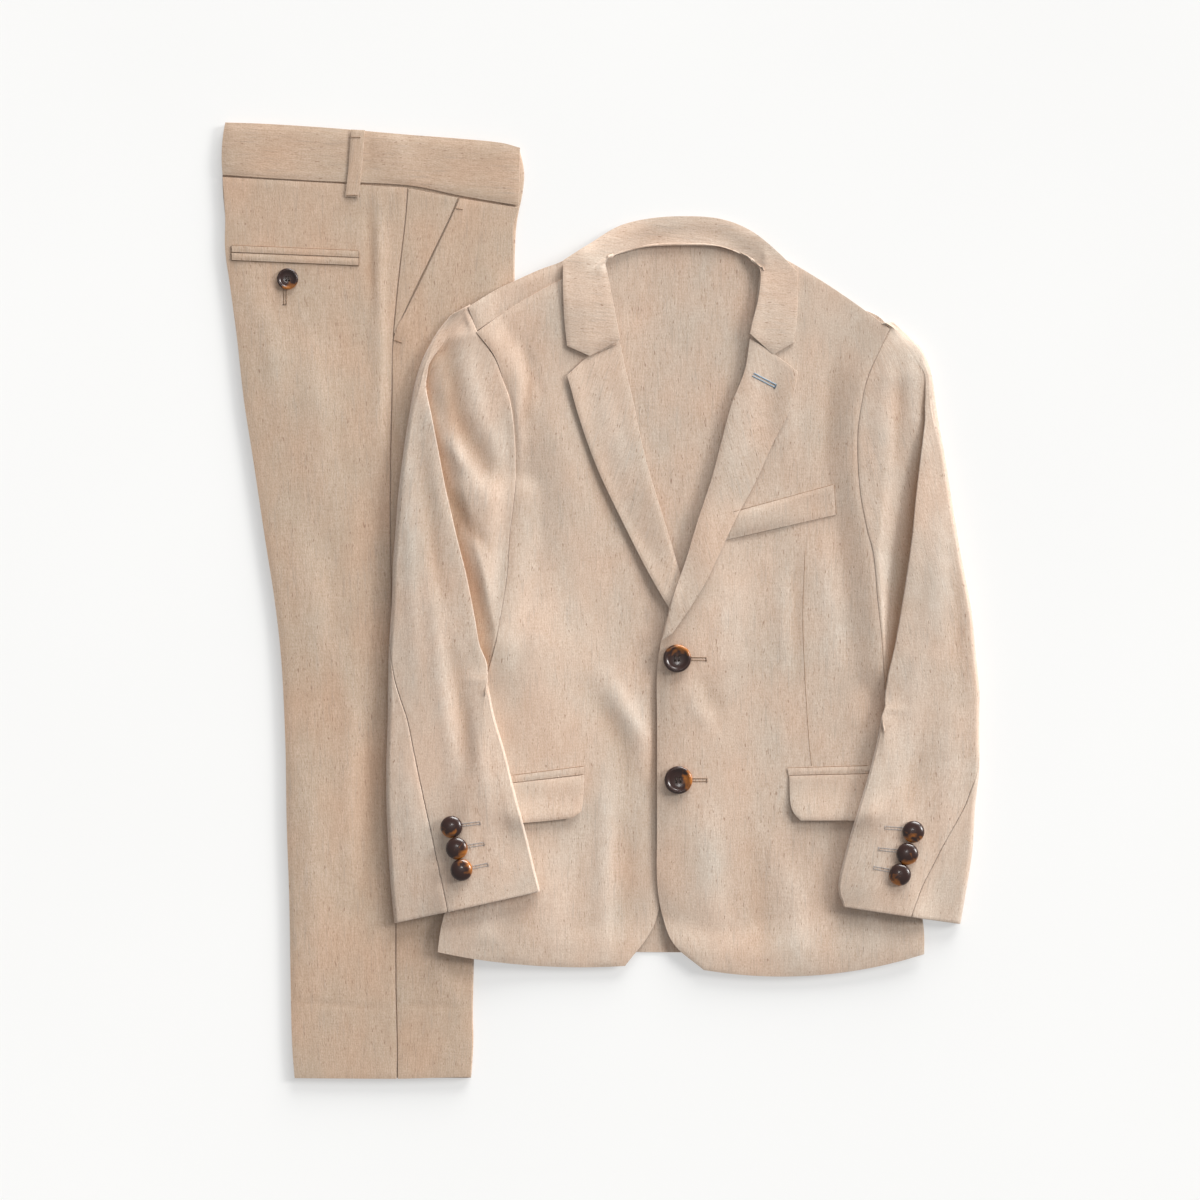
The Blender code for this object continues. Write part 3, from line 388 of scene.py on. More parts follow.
def new_material(name, settings):
    """A material with one Principled shader, and its tree."""
    made = bpy.data.materials.new(name)
    made.use_nodes = True
    tree = made.node_tree
    tree.nodes.clear()
    shader = add(tree, "BsdfPrincipled", settings)
    add(tree, "OutputMaterial", {}, {"Surface": shader})
    return made, tree, shader


def per_mm(size):
    """The scale at which one wave of a pattern is this many millimetres long on each axis."""
    return [1 / (side * MM) for side in size]


# Streaks of one yarn or a few side by side: across, along and through in millimetres, then how far
# they break up. The yarns are 0.4 mm apart, too fine to show, so they are drawn 0.6 mm wide or more.
# The cloth's tone changes over a few centimetres.
YARNS = {
    "warp": ((0.9, 9.0, 3.0), 1.5, 0.6),
    "fine": ((0.6, 1.6, 3.0), 0.5, 0.5),
    "weft": ((5.0, 0.7, 3.0), 1.5, 0.6),
    "ash": ((1.4, 22.0, 3.0), 1.0, 0.5),
    "mottle": ((6.0, 20.0, 12.0), 1.5, 0.5),
    "slub": ((0.8, 4.6, 3.0), 0.5, 0.5),
}
TONE = (34.0, 60.0, 40.0)


def linen_look(name, light, dark, slub, ash):
    """Woven linen-look cloth of mixed yarns: matt, with pale and darker streaks along its warp,
    finer ones along its weft, and short brown slubs that give it its dry, flecked look. Light and
    shade are painted on it too: a little paler on its ridges, and darker in its troughs."""
    made, tree, shader = new_material(
        name, {"Roughness": 0.62, "Specular IOR Level": 0.8, "Sheen Weight": 0.35, "Sheen Roughness": 0.6}
    )
    grain = add(tree, "Attribute", {"attribute_name": "grain"})
    # The painted light and shade of the folds, kept on each vertex: pale on ridges, dark in troughs
    nap = add(tree, "Attribute", {"attribute_name": "nap"})
    yarn = {}
    for kind, (size, detail, roughness) in YARNS.items():
        place = add(tree, "Mapping", {"Scale": per_mm(size)}, {"Vector": (grain, "Vector")})
        streaks = {"Scale": 1.0, "Detail": detail, "Roughness": roughness}
        yarn[kind] = add(tree, "TexNoise", streaks, {"Vector": place})
    lengthways = add(tree, "Math", {"operation": "ADD"}, {0: yarn["warp"], 1: yarn["fine"]})
    woven = add(tree, "Math", {"operation": "MULTIPLY_ADD", 1: 0.55}, {0: yarn["weft"], 2: lengthways})
    share = add(tree, "MapRange", {"From Min": 0.87, "From Max": 1.68}, {"Value": woven})
    cloth = add(tree, "Mix", {"data_type": "RGBA", 6: linear(dark), 7: linear(light)}, {0: share})
    # Yarns that show only where their noise is high: from, to, their greatest share and their colour
    for kind, low, high, most, code in (
        ("mottle", 0.42, 0.7, 0.3, dark), ("ash", 0.58, 0.74, 0.26, ash), ("slub", 0.71, 0.77, 0.62, slub),
    ):
        high_noise = {"From Min": low, "From Max": high, "To Max": most}
        share = add(tree, "MapRange", high_noise, {"Value": yarn[kind]})
        cloth = add(tree, "Mix", {"data_type": "RGBA", 7: linear(code)}, {0: share, 6: (cloth, 2)})
    patch = add(tree, "TexNoise", {"Scale": 1.0, "Detail": 2.0}, {
        "Vector": add(tree, "Mapping", {"Scale": per_mm(TONE)}, {"Vector": (grain, "Vector")})
    })
    share = add(tree, "MapRange", {"From Min": 0.32, "From Max": 0.68}, {"Value": patch})
    # The warmer and the cooler side of the cloth's random tone, then the painted shade of a trough and the
    # painted highlight of a ridge
    for low, high, source in (("#FFF5EE", "#F6F8F8", share), ("#D9C3AF", "#FFFFFF", (nap, "Fac"))):
        shade = add(tree, "Mix", {"data_type": "RGBA", 6: linear(low), 7: linear(high)}, {0: source})
        tinted = {"data_type": "RGBA", "blend_type": "MULTIPLY", 0: 1.0}
        cloth = add(tree, "Mix", tinted, {6: (cloth, 2), 7: (shade, 2)})
    tree.links.new(cloth.outputs[2], shader.inputs["Base Color"])
    bump = add(tree, "Bump", {"Strength": 0.35, "Distance": 0.0002}, {"Height": woven})
    tree.links.new(bump.outputs["Normal"], shader.inputs["Normal"])
    return made


def sewing_thread(name, code):
    """Twisted polyester sewing thread: a little shinier than the cloth it lies on."""
    made, tree, shader = new_material(name, {"Roughness": 0.55, "Sheen Weight": 0.1})
    place = add(tree, "TexCoord")
    # The twist of the thread, 0.8 mm long
    twist = {"Scale": 1 / (0.8 * MM), "Detail": 1.0}
    twist = add(tree, "TexNoise", twist, {"Vector": (place, "Object")})
    share = add(tree, "MapRange", {"From Min": 0.3, "From Max": 0.7}, {"Value": twist})
    shade = [0.72 * part for part in linear(code)[:3]] + [1.0]
    ply = add(tree, "Mix", {"data_type": "RGBA", 6: shade, 7: linear(code)}, {0: share})
    tree.links.new(ply.outputs[2], shader.inputs["Base Color"])
    return made


def tortoiseshell(name, amber, brown):
    """Cast polyester resin in tortoiseshell colours, polished: one side melts from dark brown into
    clear amber under a hard gloss."""
    made, tree, shader = new_material(
        name, {"Roughness": 0.3, "IOR": 1.5, "Coat Weight": 0.5, "Coat Roughness": 0.12}
    )
    grain = add(tree, "Attribute", {"attribute_name": "grain"})
    # Clouds about 7 mm across
    place = add(tree, "Mapping", {"Scale": per_mm((7.0, 8.0, 7.0))}, {"Vector": (grain, "Vector")})
    clouds = {"Scale": 1.0, "Roughness": 0.45, "Distortion": 0.6}
    cloud = add(tree, "TexNoise", clouds, {"Vector": place})
    across = add(tree, "SeparateXYZ", {}, {"Vector": (grain, "Vector")})
    # The brown gives way to amber over about 26 mm
    both = add(tree, "Math", {"operation": "MULTIPLY_ADD", 1: 1 / (26 * MM)}, {0: across, 2: cloud})
    share = add(tree, "MapRange", {"From Min": 0.62, "From Max": 0.86}, {"Value": both})
    resin = add(tree, "Mix", {"data_type": "RGBA", 6: linear(brown), 7: linear(amber)}, {0: share})
    tree.links.new(resin.outputs[2], shader.inputs["Base Color"])
    return made


def light_table(name, code, glow):
    """Opal acrylic lit from below: an even, almost white ground on which shadows stay faint."""
    white = (1.0, 1.0, 1.0, 1.0)
    lit = {"Roughness": 0.9, "Specular IOR Level": 0.0, "Emission Color": white, "Emission Strength": glow}
    made, tree, shader = new_material(name, lit)
    place = add(tree, "TexCoord")
    # Its tone changes over about 300 mm, hardly to be seen
    tone = add(tree, "TexNoise", {"Scale": 1 / (300 * MM), "Detail": 1.0}, {"Vector": (place, "Object")})
    share = add(tree, "MapRange", {"From Min": 0.3, "From Max": 0.7}, {"Value": tone})
    acrylic = add(tree, "Mix", {"data_type": "RGBA", 6: linear("#BEBEBD"), 7: linear(code)}, {0: share})
    tree.links.new(acrylic.outputs[2], shader.inputs["Base Color"])
    return made


# Each finish: what makes it, its name, the group of its colours and which they are
FINISHES = {
    "jacket": (linen_look, "linen_look_jacket_woven", "cloth", "jacket_light jacket_dark slub ash"),
    "trousers": (linen_look, "linen_look_trousers_woven", "cloth", "trouser_light trouser_dark slub ash"),
    "resin": (tortoiseshell, "tortoiseshell_resin_polished", "buttons", "amber brown"),
    "self": (sewing_thread, "polyester_thread_self", "sewing", "self_colour"),
    "lapel": (sewing_thread, "polyester_thread_light_blue", "sewing", "lapel_colour"),
    "cuff": (sewing_thread, "polyester_thread_grey_blue", "sewing", "cuff_colour"),
    "button": (sewing_thread, "polyester_thread_brown", "sewing", "button_colour"),
}
MATERIALS = {}


def finish_of(key):
    """The material of this key, made when it is first asked for."""
    if key not in MATERIALS:
        maker, name, group, colours = FINISHES[key]
        settings = getattr(bpy.context.scene, "suit_" + group)
        MATERIALS[key] = maker(name, *(getattr(settings, each) for each in colours.split()))
    return MATERIALS[key]


# ---------------------------------------------------------------- laying cloth


def mesh_object(name, points, faces, finish):
    """A smooth object of one finish, from points in millimetres."""
    mesh = bpy.data.meshes.new(name)
    mesh.from_pydata((np.array(points) * MM).tolist(), [], faces)
    mesh.materials.append(finish)
    mesh.shade_smooth()
    made = bpy.data.objects.new(name, mesh)
    bpy.context.scene.collection.objects.link(made)
    return made


def store(made, name, values):
    """Keeps a number or a vector of each vertex for the material."""
    vector = values.ndim == 2
    kept = made.data.attributes.new(name, "FLOAT_VECTOR" if vector else "FLOAT", "POINT")
    kept.data.foreach_set("vector" if vector else "value", values.astype(np.float32).ravel())


def carried(made, slot, *nodes):
    """A piece that rides on the suit, in place of these nodes."""
    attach(made, BODY)
    if nodes:
        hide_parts(*nodes)


def eased(share):
    """A share from 0 to 1 that starts and ends softly."""
    return share * share * (3 - 2 * share)


def blur(grid, times=1):
    """A grid of heights, each drawn towards the mean of itself and its neighbours."""
    for _ in range(times):
        ring = np.pad(grid, 1, mode="edge")
        rows = (ring[:-2] + 2 * ring[1:-1] + ring[2:]) / 4
        grid = (rows[:, :-2] + 2 * rows[:, 1:-1] + rows[:, 2:]) / 4
    return grid


class Pile:
    """The height of everything laid so far, on a raster of the table."""

    STEP = 1.0
    LOW = np.array([-310.0, -380.0])
    SIZE = (621, 761)

    def __init__(self):
        self.height = np.zeros(self.SIZE)

    def add(self, points, faces):
        """Raises the raster to the top of this mesh. Points are in millimetres."""
        tree = BVHTree.FromPolygons([Vector(point) for point in points], faces)
        low = np.floor((points[:, :2].min(0) - self.LOW) / self.STEP).astype(int)
        high = np.ceil((points[:, :2].max(0) - self.LOW) / self.STEP).astype(int)
        down = Vector((0, 0, -1))
        for column in range(max(low[0], 0), min(high[0] + 1, self.SIZE[0])):
            x = self.LOW[0] + column * self.STEP
            for row in range(max(low[1], 0), min(high[1] + 1, self.SIZE[1])):
                hit = tree.ray_cast(Vector((x, self.LOW[1] + row * self.STEP, OVERHEAD)), down)[0]
                if hit is not None and hit.z > self.height[column, row]:
                    self.height[column, row] = hit.z

    def top(self, places, spread=1):
        """The pile's height at these places, as the highest within `spread` cells."""
        height = self.height
        for _ in range(spread):
            ring = np.pad(height, 1, mode="edge")
            height = np.max(
                [ring[down : down + height.shape[0], along : along + height.shape[1]]
                 for down in range(3) for along in range(3)], axis=0,
            )
        at = np.clip((places - self.LOW) / self.STEP, 0, np.array(self.SIZE) - 1.001)
        corner = at.astype(int)
        share = at - corner
        x, y = corner[..., 0], corner[..., 1]
        low = height[x, y] * (1 - share[..., 0]) + height[x + 1, y] * share[..., 0]
        high = height[x, y + 1] * (1 - share[..., 0]) + height[x + 1, y + 1] * share[..., 0]
        return low * (1 - share[..., 1]) + high * share[..., 1]


PILE = Pile()
# The plans of the panels laid so far, for the sleeves sewn to them
SEWN = {}


def under_piece(heights, margin):
    """Heights under a piece, without those that its neighbours' edges add along its border."""
    for _ in range(2):
        keep = min(margin, (len(heights) - 1) // 2)
        if keep:
            heights = heights.copy()
            heights[:keep] = heights[keep]
            heights[-keep:] = heights[-keep - 1]
        heights = heights.T
    return heights


def settled(need, firmness=FIRMNESS):
    """Firm cloth laid on these heights: it bridges what is narrow and lies on what is high."""
    need = blur(need, 2)
    height = need
    for _ in range(firmness):
        height = np.maximum(need, blur(height))
    return blur(height, 3)


def distances(points):
    """How far along a line each of its points is."""
    return np.concatenate([[0], np.cumsum(np.linalg.norm(np.diff(points, axis=0), axis=1))])


def smooth_line(points, count):
    """Places spaced evenly along the smooth line through these points. Sharp corners stay sharp."""
    points = np.asarray(points, float)
    ways = np.diff(points, axis=0)
    angles = np.degrees(np.unwrap(np.arctan2(ways[:, 1], ways[:, 0])))
    sharp = [0, *(1 + np.flatnonzero(np.abs(np.diff(angles)) > CORNER)), len(points) - 1]
    fine = [points[:1]]
    share = np.linspace(0, 1, 17)[1:, None]
    for start, end in zip(sharp, sharp[1:]):
        run = points[start : end + 1]
        ends = np.concatenate([[2 * run[0] - run[1]], run, [2 * run[-1] - run[-2]]])
        for before, here, there, after in zip(ends, ends[1:], ends[2:], ends[3:]):
            fine.append(
                0.5 * (2 * here + (there - before) * share
                       + (2 * before - 5 * here + 4 * there - after) * share**2
                       + (3 * here - before - 3 * there + after) * share**3)
            )
    fine = np.concatenate(fine)
    along = distances(fine)
    even = np.linspace(0, along[-1], count)
    return np.column_stack([np.interp(even, along, fine[:, axis]) for axis in range(fine.shape[1])])


def line_length(points):
    return float(np.linalg.norm(np.diff(np.asarray(points), axis=0), axis=1).sum())


def upper_side(name):
    """The border of a solid's upper side, in order, and a tree of that side, in millimetres."""
    shape = bmesh.new()
    shape.from_mesh(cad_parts[name].data)
    bmesh.ops.remove_doubles(shape, verts=shape.verts, dist=1e-6)
    shape.normal_update()
    bmesh.ops.delete(shape, geom=[face for face in shape.faces if face.normal.z < 0.3], context="FACES")
    border = [edge for edge in shape.edges if edge.is_boundary]
    for vertex in {vertex for edge in border for vertex in edge.verts}:
        vertex.co.z += 0.5 * MM
    after = {}
    for edge in border:
        for here, there in (edge.verts, reversed(edge.verts)):
            after.setdefault(here, []).append(there)
    loop = [border[0].verts[0]]
    came = None
    while True:
        onward = [there for there in after[loop[-1]] if there is not came]
        came = loop[-1]
        if onward[0] is loop[0]:
            break
        loop.append(onward[0])
    places = np.array([vertex.co[:2] for vertex in loop]) / MM
    shape.verts.index_update()
    faces = [[vertex.index for vertex in face.verts] for face in shape.faces]
    tree = BVHTree.FromPolygons([vertex.co / MM for vertex in shape.verts], faces)
    shape.free()
    return places, tree


def panel_grid(name, cell):
    """A panel's plan as rows of places between its four smooth sides."""
    loop, tree = upper_side(name)
    corners = np.reshape(CORNERS[name], (4, 2)).astype(float)
    picks = [int(np.argmin(np.linalg.norm(loop - corner, axis=1))) for corner in corners]
    count = len(loop)
    if (picks[1] - picks[0]) % count > (picks[3] - picks[0]) % count:
        loop = loop[::-1]
        picks = [count - 1 - pick for pick in picks]

    def between(start, end):
        run = [(picks[start] + step) % count for step in range((picks[end] - picks[start]) % count + 1)]
        return loop[run]

    first, right, last, left = between(0, 1), between(1, 2), between(2, 3)[::-1], between(3, 0)[::-1]
    columns = max(4, round(max(line_length(first), line_length(last)) / cell) + 1)
    rows = max(4, round(max(line_length(left), line_length(right)) / cell) + 1)
    first, last = smooth_line(first, columns), smooth_line(last, columns)
    left, right = smooth_line(left, rows), smooth_line(right, rows)
    down = np.linspace(0, 1, rows)[:, None, None]
    across = np.linspace(0, 1, columns)[None, :, None]
    grid = (1 - down) * first[None] + down * last[None] + (1 - across) * left[:, None] + across * right[:, None]
    grid -= (1 - down) * ((1 - across) * first[0] + across * first[-1])
    grid -= down * ((1 - across) * last[0] + across * last[-1])
    return grid, tree


def drawn_in(grid, reach):
    """The grid with its border moved inwards by the reach of its rim."""
    grid = grid.copy()
    for lines in (grid, grid.transpose(1, 0, 2)):
        for border, inside in ((0, 1), (-1, -2)):
            way = lines[inside] - lines[border]
            lines[border] += way * np.minimum(0.8, reach / np.linalg.norm(way, axis=-1, keepdims=True))
    return grid


def loft_of(tree, grid):
    """The height of the solid's upper side over a grid of places."""
    heights = np.zeros(grid.shape[:2])
    down = Vector((0, 0, -1))
    for row, places in enumerate(grid):
        for column, (x, y) in enumerate(places):
            hit = tree.ray_cast(Vector((x, y, OVERHEAD)), down)[0]
            if hit is None:
                hit = tree.find_nearest(Vector((x, y, 10.0)))[0]
            heights[row, column] = hit.z
    return heights


def creased(grid, creases):
    """The height that creases add over a grid of places."""
    added = np.zeros(grid.shape[:2])
    for left, right, rise, *places in creases:
        line = smooth_line(np.reshape(places, (-1, 2)), 24)
        steps = np.linspace(0, 1, len(line))
        best = np.full(added.shape, 1e9)
        side, share = np.zeros(added.shape), np.zeros(added.shape)
        for start, end, at in zip(line, line[1:], steps):
            run = end - start
            along = np.clip(((grid - start) @ run) / (run @ run), 0, 1)
            off = grid - start - along[..., None] * run
            away = np.linalg.norm(off, axis=2)
            nearer = away < best
            best[nearer] = away[nearer]
            side[nearer] = (run[0] * off[..., 1] - run[1] * off[..., 0])[nearer]
            share[nearer] = (at + along * steps[1])[nearer]
        width = np.where(side > 0, left, right)
        ends = np.sin(np.pi * np.clip(share, 0.04, 0.96)) ** 0.6
        added += rise * ends * np.exp(-((best / width) ** 2))
    return added


def away_from(grid, line):
    """How far each place of a grid is from a line, in millimetres."""
    return np.min(np.linalg.norm(grid[:, :, None] - line[None, None], axis=3), axis=2)


def rumpled(grid, size, seed):
    """Soft unevenness from 0 to 1 over a grid of places."""
    return np.array(
        [[0.5 + 0.5 * noise.noise(Vector((x / size, 0.7 * y / size, seed)))
          + 0.2 * noise.noise(Vector((2.7 * x / size, 1.6 * y / size, seed + 9.0)))
          for x, y in places] for places in grid]
    )


def edge_distance(grid):
    """How far each place of a grid is from the nearest side, in millimetres."""

    def run(points):
        step = np.linalg.norm(np.diff(points, axis=0), axis=2)
        so_far = np.concatenate([np.zeros((1, points.shape[1])), np.cumsum(step, axis=0)])
        return np.minimum(so_far, so_far[-1] - so_far)

    return np.minimum(run(grid), run(grid.transpose(1, 0, 2)).T)


def normals_of(grid):
    """Unit normals of a grid of points, outwards at its highest point."""
    down, across = np.gradient(grid, axis=0), np.gradient(grid, axis=1)
    normal = np.cross(down, across)
    normal /= np.maximum(np.linalg.norm(normal, axis=2, keepdims=True), 1e-12)
    highest = np.unravel_index(np.argmax(grid[..., 2] * (np.abs(normal[..., 2]) > 0.5)), grid.shape[:2])
    return normal * np.sign(normal[highest][2])


def outwards(grid):
    """Unit ways out of the first and the last row of a grid of points."""
    way = np.zeros_like(grid)
    way[0] += grid[0] - grid[1]
    way[-1] += grid[-1] - grid[-2]
    return way / np.maximum(np.linalg.norm(way, axis=2, keepdims=True), 1e-12)


def wall(name, outer, inner, grain, finish, nap, rim=SHEET_RIM, reach=None):
    """A closed wall between two grids of points, with a rounded rim round it. Millimetres. The painted
    light and shade of each place runs from 0, painted dark in a trough, to 1, painted pale on a ridge."""
    rows, columns = outer.shape[:2]
    index = np.arange(rows * columns).reshape(rows, columns)
    quads = [index[:-1, :-1], index[:-1, 1:], index[1:, 1:], index[1:, :-1]]
    quads = np.stack(quads, -1).reshape(-1, 4)
    border = np.array([*index[0, :-1], *index[:-1, -1], *index[-1, :0:-1], *index[:0:-1, 0]])
    out = outwards(outer) + outwards(outer.transpose(1, 0, 2)).transpose(1, 0, 2)
    out = out.reshape(-1, 3)[border]
    out /= np.maximum(np.linalg.norm(out, axis=1, keepdims=True), 1.0)
    outer, inner, grain, nap = outer.reshape(-1, 3), inner.reshape(-1, 3), grain.reshape(-1, 3), nap.ravel()
    points, grains, painted_fold_shades, loops = [outer, inner], [grain, grain], [nap, nap], [border]
    high, low = outer[border], inner[border]
    half = reach if reach is not None else np.linalg.norm(high - low, axis=1, keepdims=True) / 2
    start = 2 * rows * columns
    for share, far in rim:
        points.append(high + (low - high) * share + out * half * far)
        grains.append(grain[border] + np.array([0, 0, 1.0]) * share)
        painted_fold_shades.append(nap[border])
        loops.append(np.arange(start, start + len(border)))
        start += len(border)
    loops.append(border + rows * columns)
    faces = [quads, quads[:, ::-1] + rows * columns]
    for upper, under in zip(loops, loops[1:]):
        faces.append(np.column_stack([upper, under, np.roll(under, -1), np.roll(upper, -1)]))
    points, faces = np.concatenate(points), np.concatenate(faces)
    one, two, three, four = (points[faces[:, corner]] for corner in range(4))
    if np.einsum("ij,ij->", one, np.cross(two, three) + np.cross(three, four)) < 0:
        faces = faces[:, ::-1]
    made = mesh_object(name, points, faces.tolist(), finish)
    store(made, "grain", np.concatenate(grains) * MM)
    store(made, "nap", np.concatenate(painted_fold_shades))
    PILE.add(points, faces.tolist())
    return made


def painted_shade_from_folds(folds):
    """Painted light and shade from how high the folds stand, in millimetres: 0 painted darkest in a trough, 1
    painted palest on a ridge.
    """
    return np.clip(0.5 + folds / PAINTED_SHADE_RANGE, 0, 1)


def grain_of(grid, name):
    """Where each place lies on the cloth that the piece was cut from, in millimetres."""
    turn = math.radians(GRAIN.get(name, 0.0))
    seed = sum(ord(letter) * (place + 3) for place, letter in enumerate(name)) % 997
    x, y = grid[..., 0], grid[..., 1]
    across = x * math.cos(turn) + y * math.sin(turn) + 7.0 * seed
    along = y * math.cos(turn) - x * math.sin(turn) + 3.0 * seed
    return np.dstack([across, along, grid[..., 2]])


def flat_area(plan):
    """The area of a plan, in square metres."""
    one, two = plan[1:, 1:] - plan[:-1, :-1], plan[1:, :-1] - plan[:-1, 1:]
    return float(np.abs(one[..., 0] * two[..., 1] - one[..., 1] * two[..., 0]).sum() / 2) * MM * MM


def panel(name, cell, thickness):
    """Lays one panel: its plan from its solid, its height from the pile and its solid's loft."""
    cloth = bpy.context.scene.suit_cloth
    thickness, cell = thickness / MM, cell / MM
    plan, tree = panel_grid(name, cell)
    SEWN[name] = plan
    rim = PANEL_RIM * thickness
    flat = drawn_in(plan, rim)
    below = under_piece(PILE.top(flat, 0), math.ceil(SEAM_MARGIN / cell))
    need = settled(below + LAY_GAP + thickness)
    loft = blur(loft_of(tree, flat), round(2 * (FLAT_REACH / cell) ** 2))
    inside = eased(np.clip(edge_distance(plan) / EDGES.get(name, EDGE_REACH), 0, 1))
    # Its solid stands off the pile all over, the cloth only where the solid is fullest
    fullness = loft - need
    fullness = np.maximum(fullness - np.percentile(fullness, STANDS_OFF), 0)
    height = need + LOFT.get(name, 1.0) * fullness * inside
    for reach, high, *places in LIFTS.get(name, ()):
        away = away_from(flat, smooth_line(np.reshape(places, (-1, 2)), 60))
        height = np.maximum(height, need + high * np.exp(-((away / reach) ** 2)))
    height = np.maximum(blur(height, round((SOFTNESS / cell) ** 2)), need)
    uneven = rumpled(flat, cloth.rumple_size / MM, len(name) + GRAIN.get(name, 0.0))
    height = height + inside * cloth.rumple / MM * uneven
    folds = inside * cloth.crease_depth * creased(flat, CREASES.get(name, ()))
    height = np.maximum(height + folds, need - 0.05)
    outer = np.dstack([flat, height])
    inner = outer - normals_of(outer) * thickness
    grain = grain_of(outer, name)
    finish = finish_of(name.split("_")[0])
    # The creases are painted as well as raised: paler on their ridges and darker in their troughs, as light and
    # shade
    made = wall(name + "_cloth", outer, inner, grain, finish, painted_shade_from_folds(folds), reach=rim)
    made.data.set_sharp_from_angle(angle=math.radians(30))
    laid(made, name, flat_size(plan), flat_area(plan))


def flat_size(plan):
    """The widest row and the longest column of a plan, in metres."""
    rows = np.linalg.norm(np.diff(plan, axis=1), axis=2).sum(1).max()
    columns = np.linalg.norm(np.diff(plan, axis=0), axis=2).sum(0).max()
    return tuple(max(float(side) * MM, NARROWEST) for side in sorted((rows, columns)))


def laid(made, node, size, area):
    """A piece of cloth in place of its solid."""
    carried(made, SLOTS[node.split("_")[0]], node)


# ---------------------------------------------------------------- sleeves


def armhole(side):
    """The line of places that the sleeve is sewn to, from the shoulder down."""
    if side == "right":
        lines = SEWN["jacket_back_shoulder_right"][:, 0], SEWN["jacket_front_right"][:, 0]
        return np.concatenate([line if line[0, 1] > line[-1, 1] else line[::-1] for line in lines])
    line = SEWN["jacket_front_left"][:, -1]
    return line if line[0, 1] > line[-1, 1] else line[::-1]


def reach_to(line, start, way, wanted):
    """How far each section runs from its outer edge to where it meets a line, if it does."""
    reach = wanted.copy()
    for row, (place, ahead) in enumerate(zip(start, way)):
        off = line - place
        run = off @ ahead
        side = np.abs(off[:, 0] * ahead[1] - off[:, 1] * ahead[0]) + 0.05 * np.abs(run - wanted[row])
        near = int(np.argmin(side))
        if near and side[near] < 2.5 and abs(run[near] - wanted[row]) < 6.0:
            reach[row] = run[near]
    return reach


def dense_rows(rows, count):
    """A sleeve's sections, closer together: outer and inner places, and a column of each other value."""
    values = np.column_stack(list(rows.values()))
    places = smooth_line(values[:, :2], 400)
    at = [int(np.argmin(np.linalg.norm(places - place, axis=1))) for place in values[:, :2]]
    even = np.linspace(0, 399, count)
    inner = np.column_stack([cubic(even, at, values[:, axis]) for axis in (2, 3)])
    outer = np.column_stack([np.interp(even, np.arange(400), places[:, axis]) for axis in (0, 1)])
    rest = [blur(np.interp(even, at, column)[:, None], 4) for column in values[:, 4:].T]
    return outer, inner, *rest


def cubic(wanted, at, values):
    """Smooth interpolation through the values, by finite-difference slopes."""
    at, values = np.asarray(at, float), np.asarray(values, float)
    slopes = np.gradient(values, at)
    piece = np.clip(np.searchsorted(at, wanted, side="right") - 1, 0, len(at) - 2)
    wide = at[piece + 1] - at[piece]
    share = (wanted - at[piece]) / wide
    return (
        (1 + 2 * share) * (1 - share) ** 2 * values[piece]
        + share * (1 - share) ** 2 * wide * slopes[piece]
        + share**2 * (3 - 2 * share) * values[piece + 1]
        + share**2 * (share - 1) * wide * slopes[piece + 1]
    )


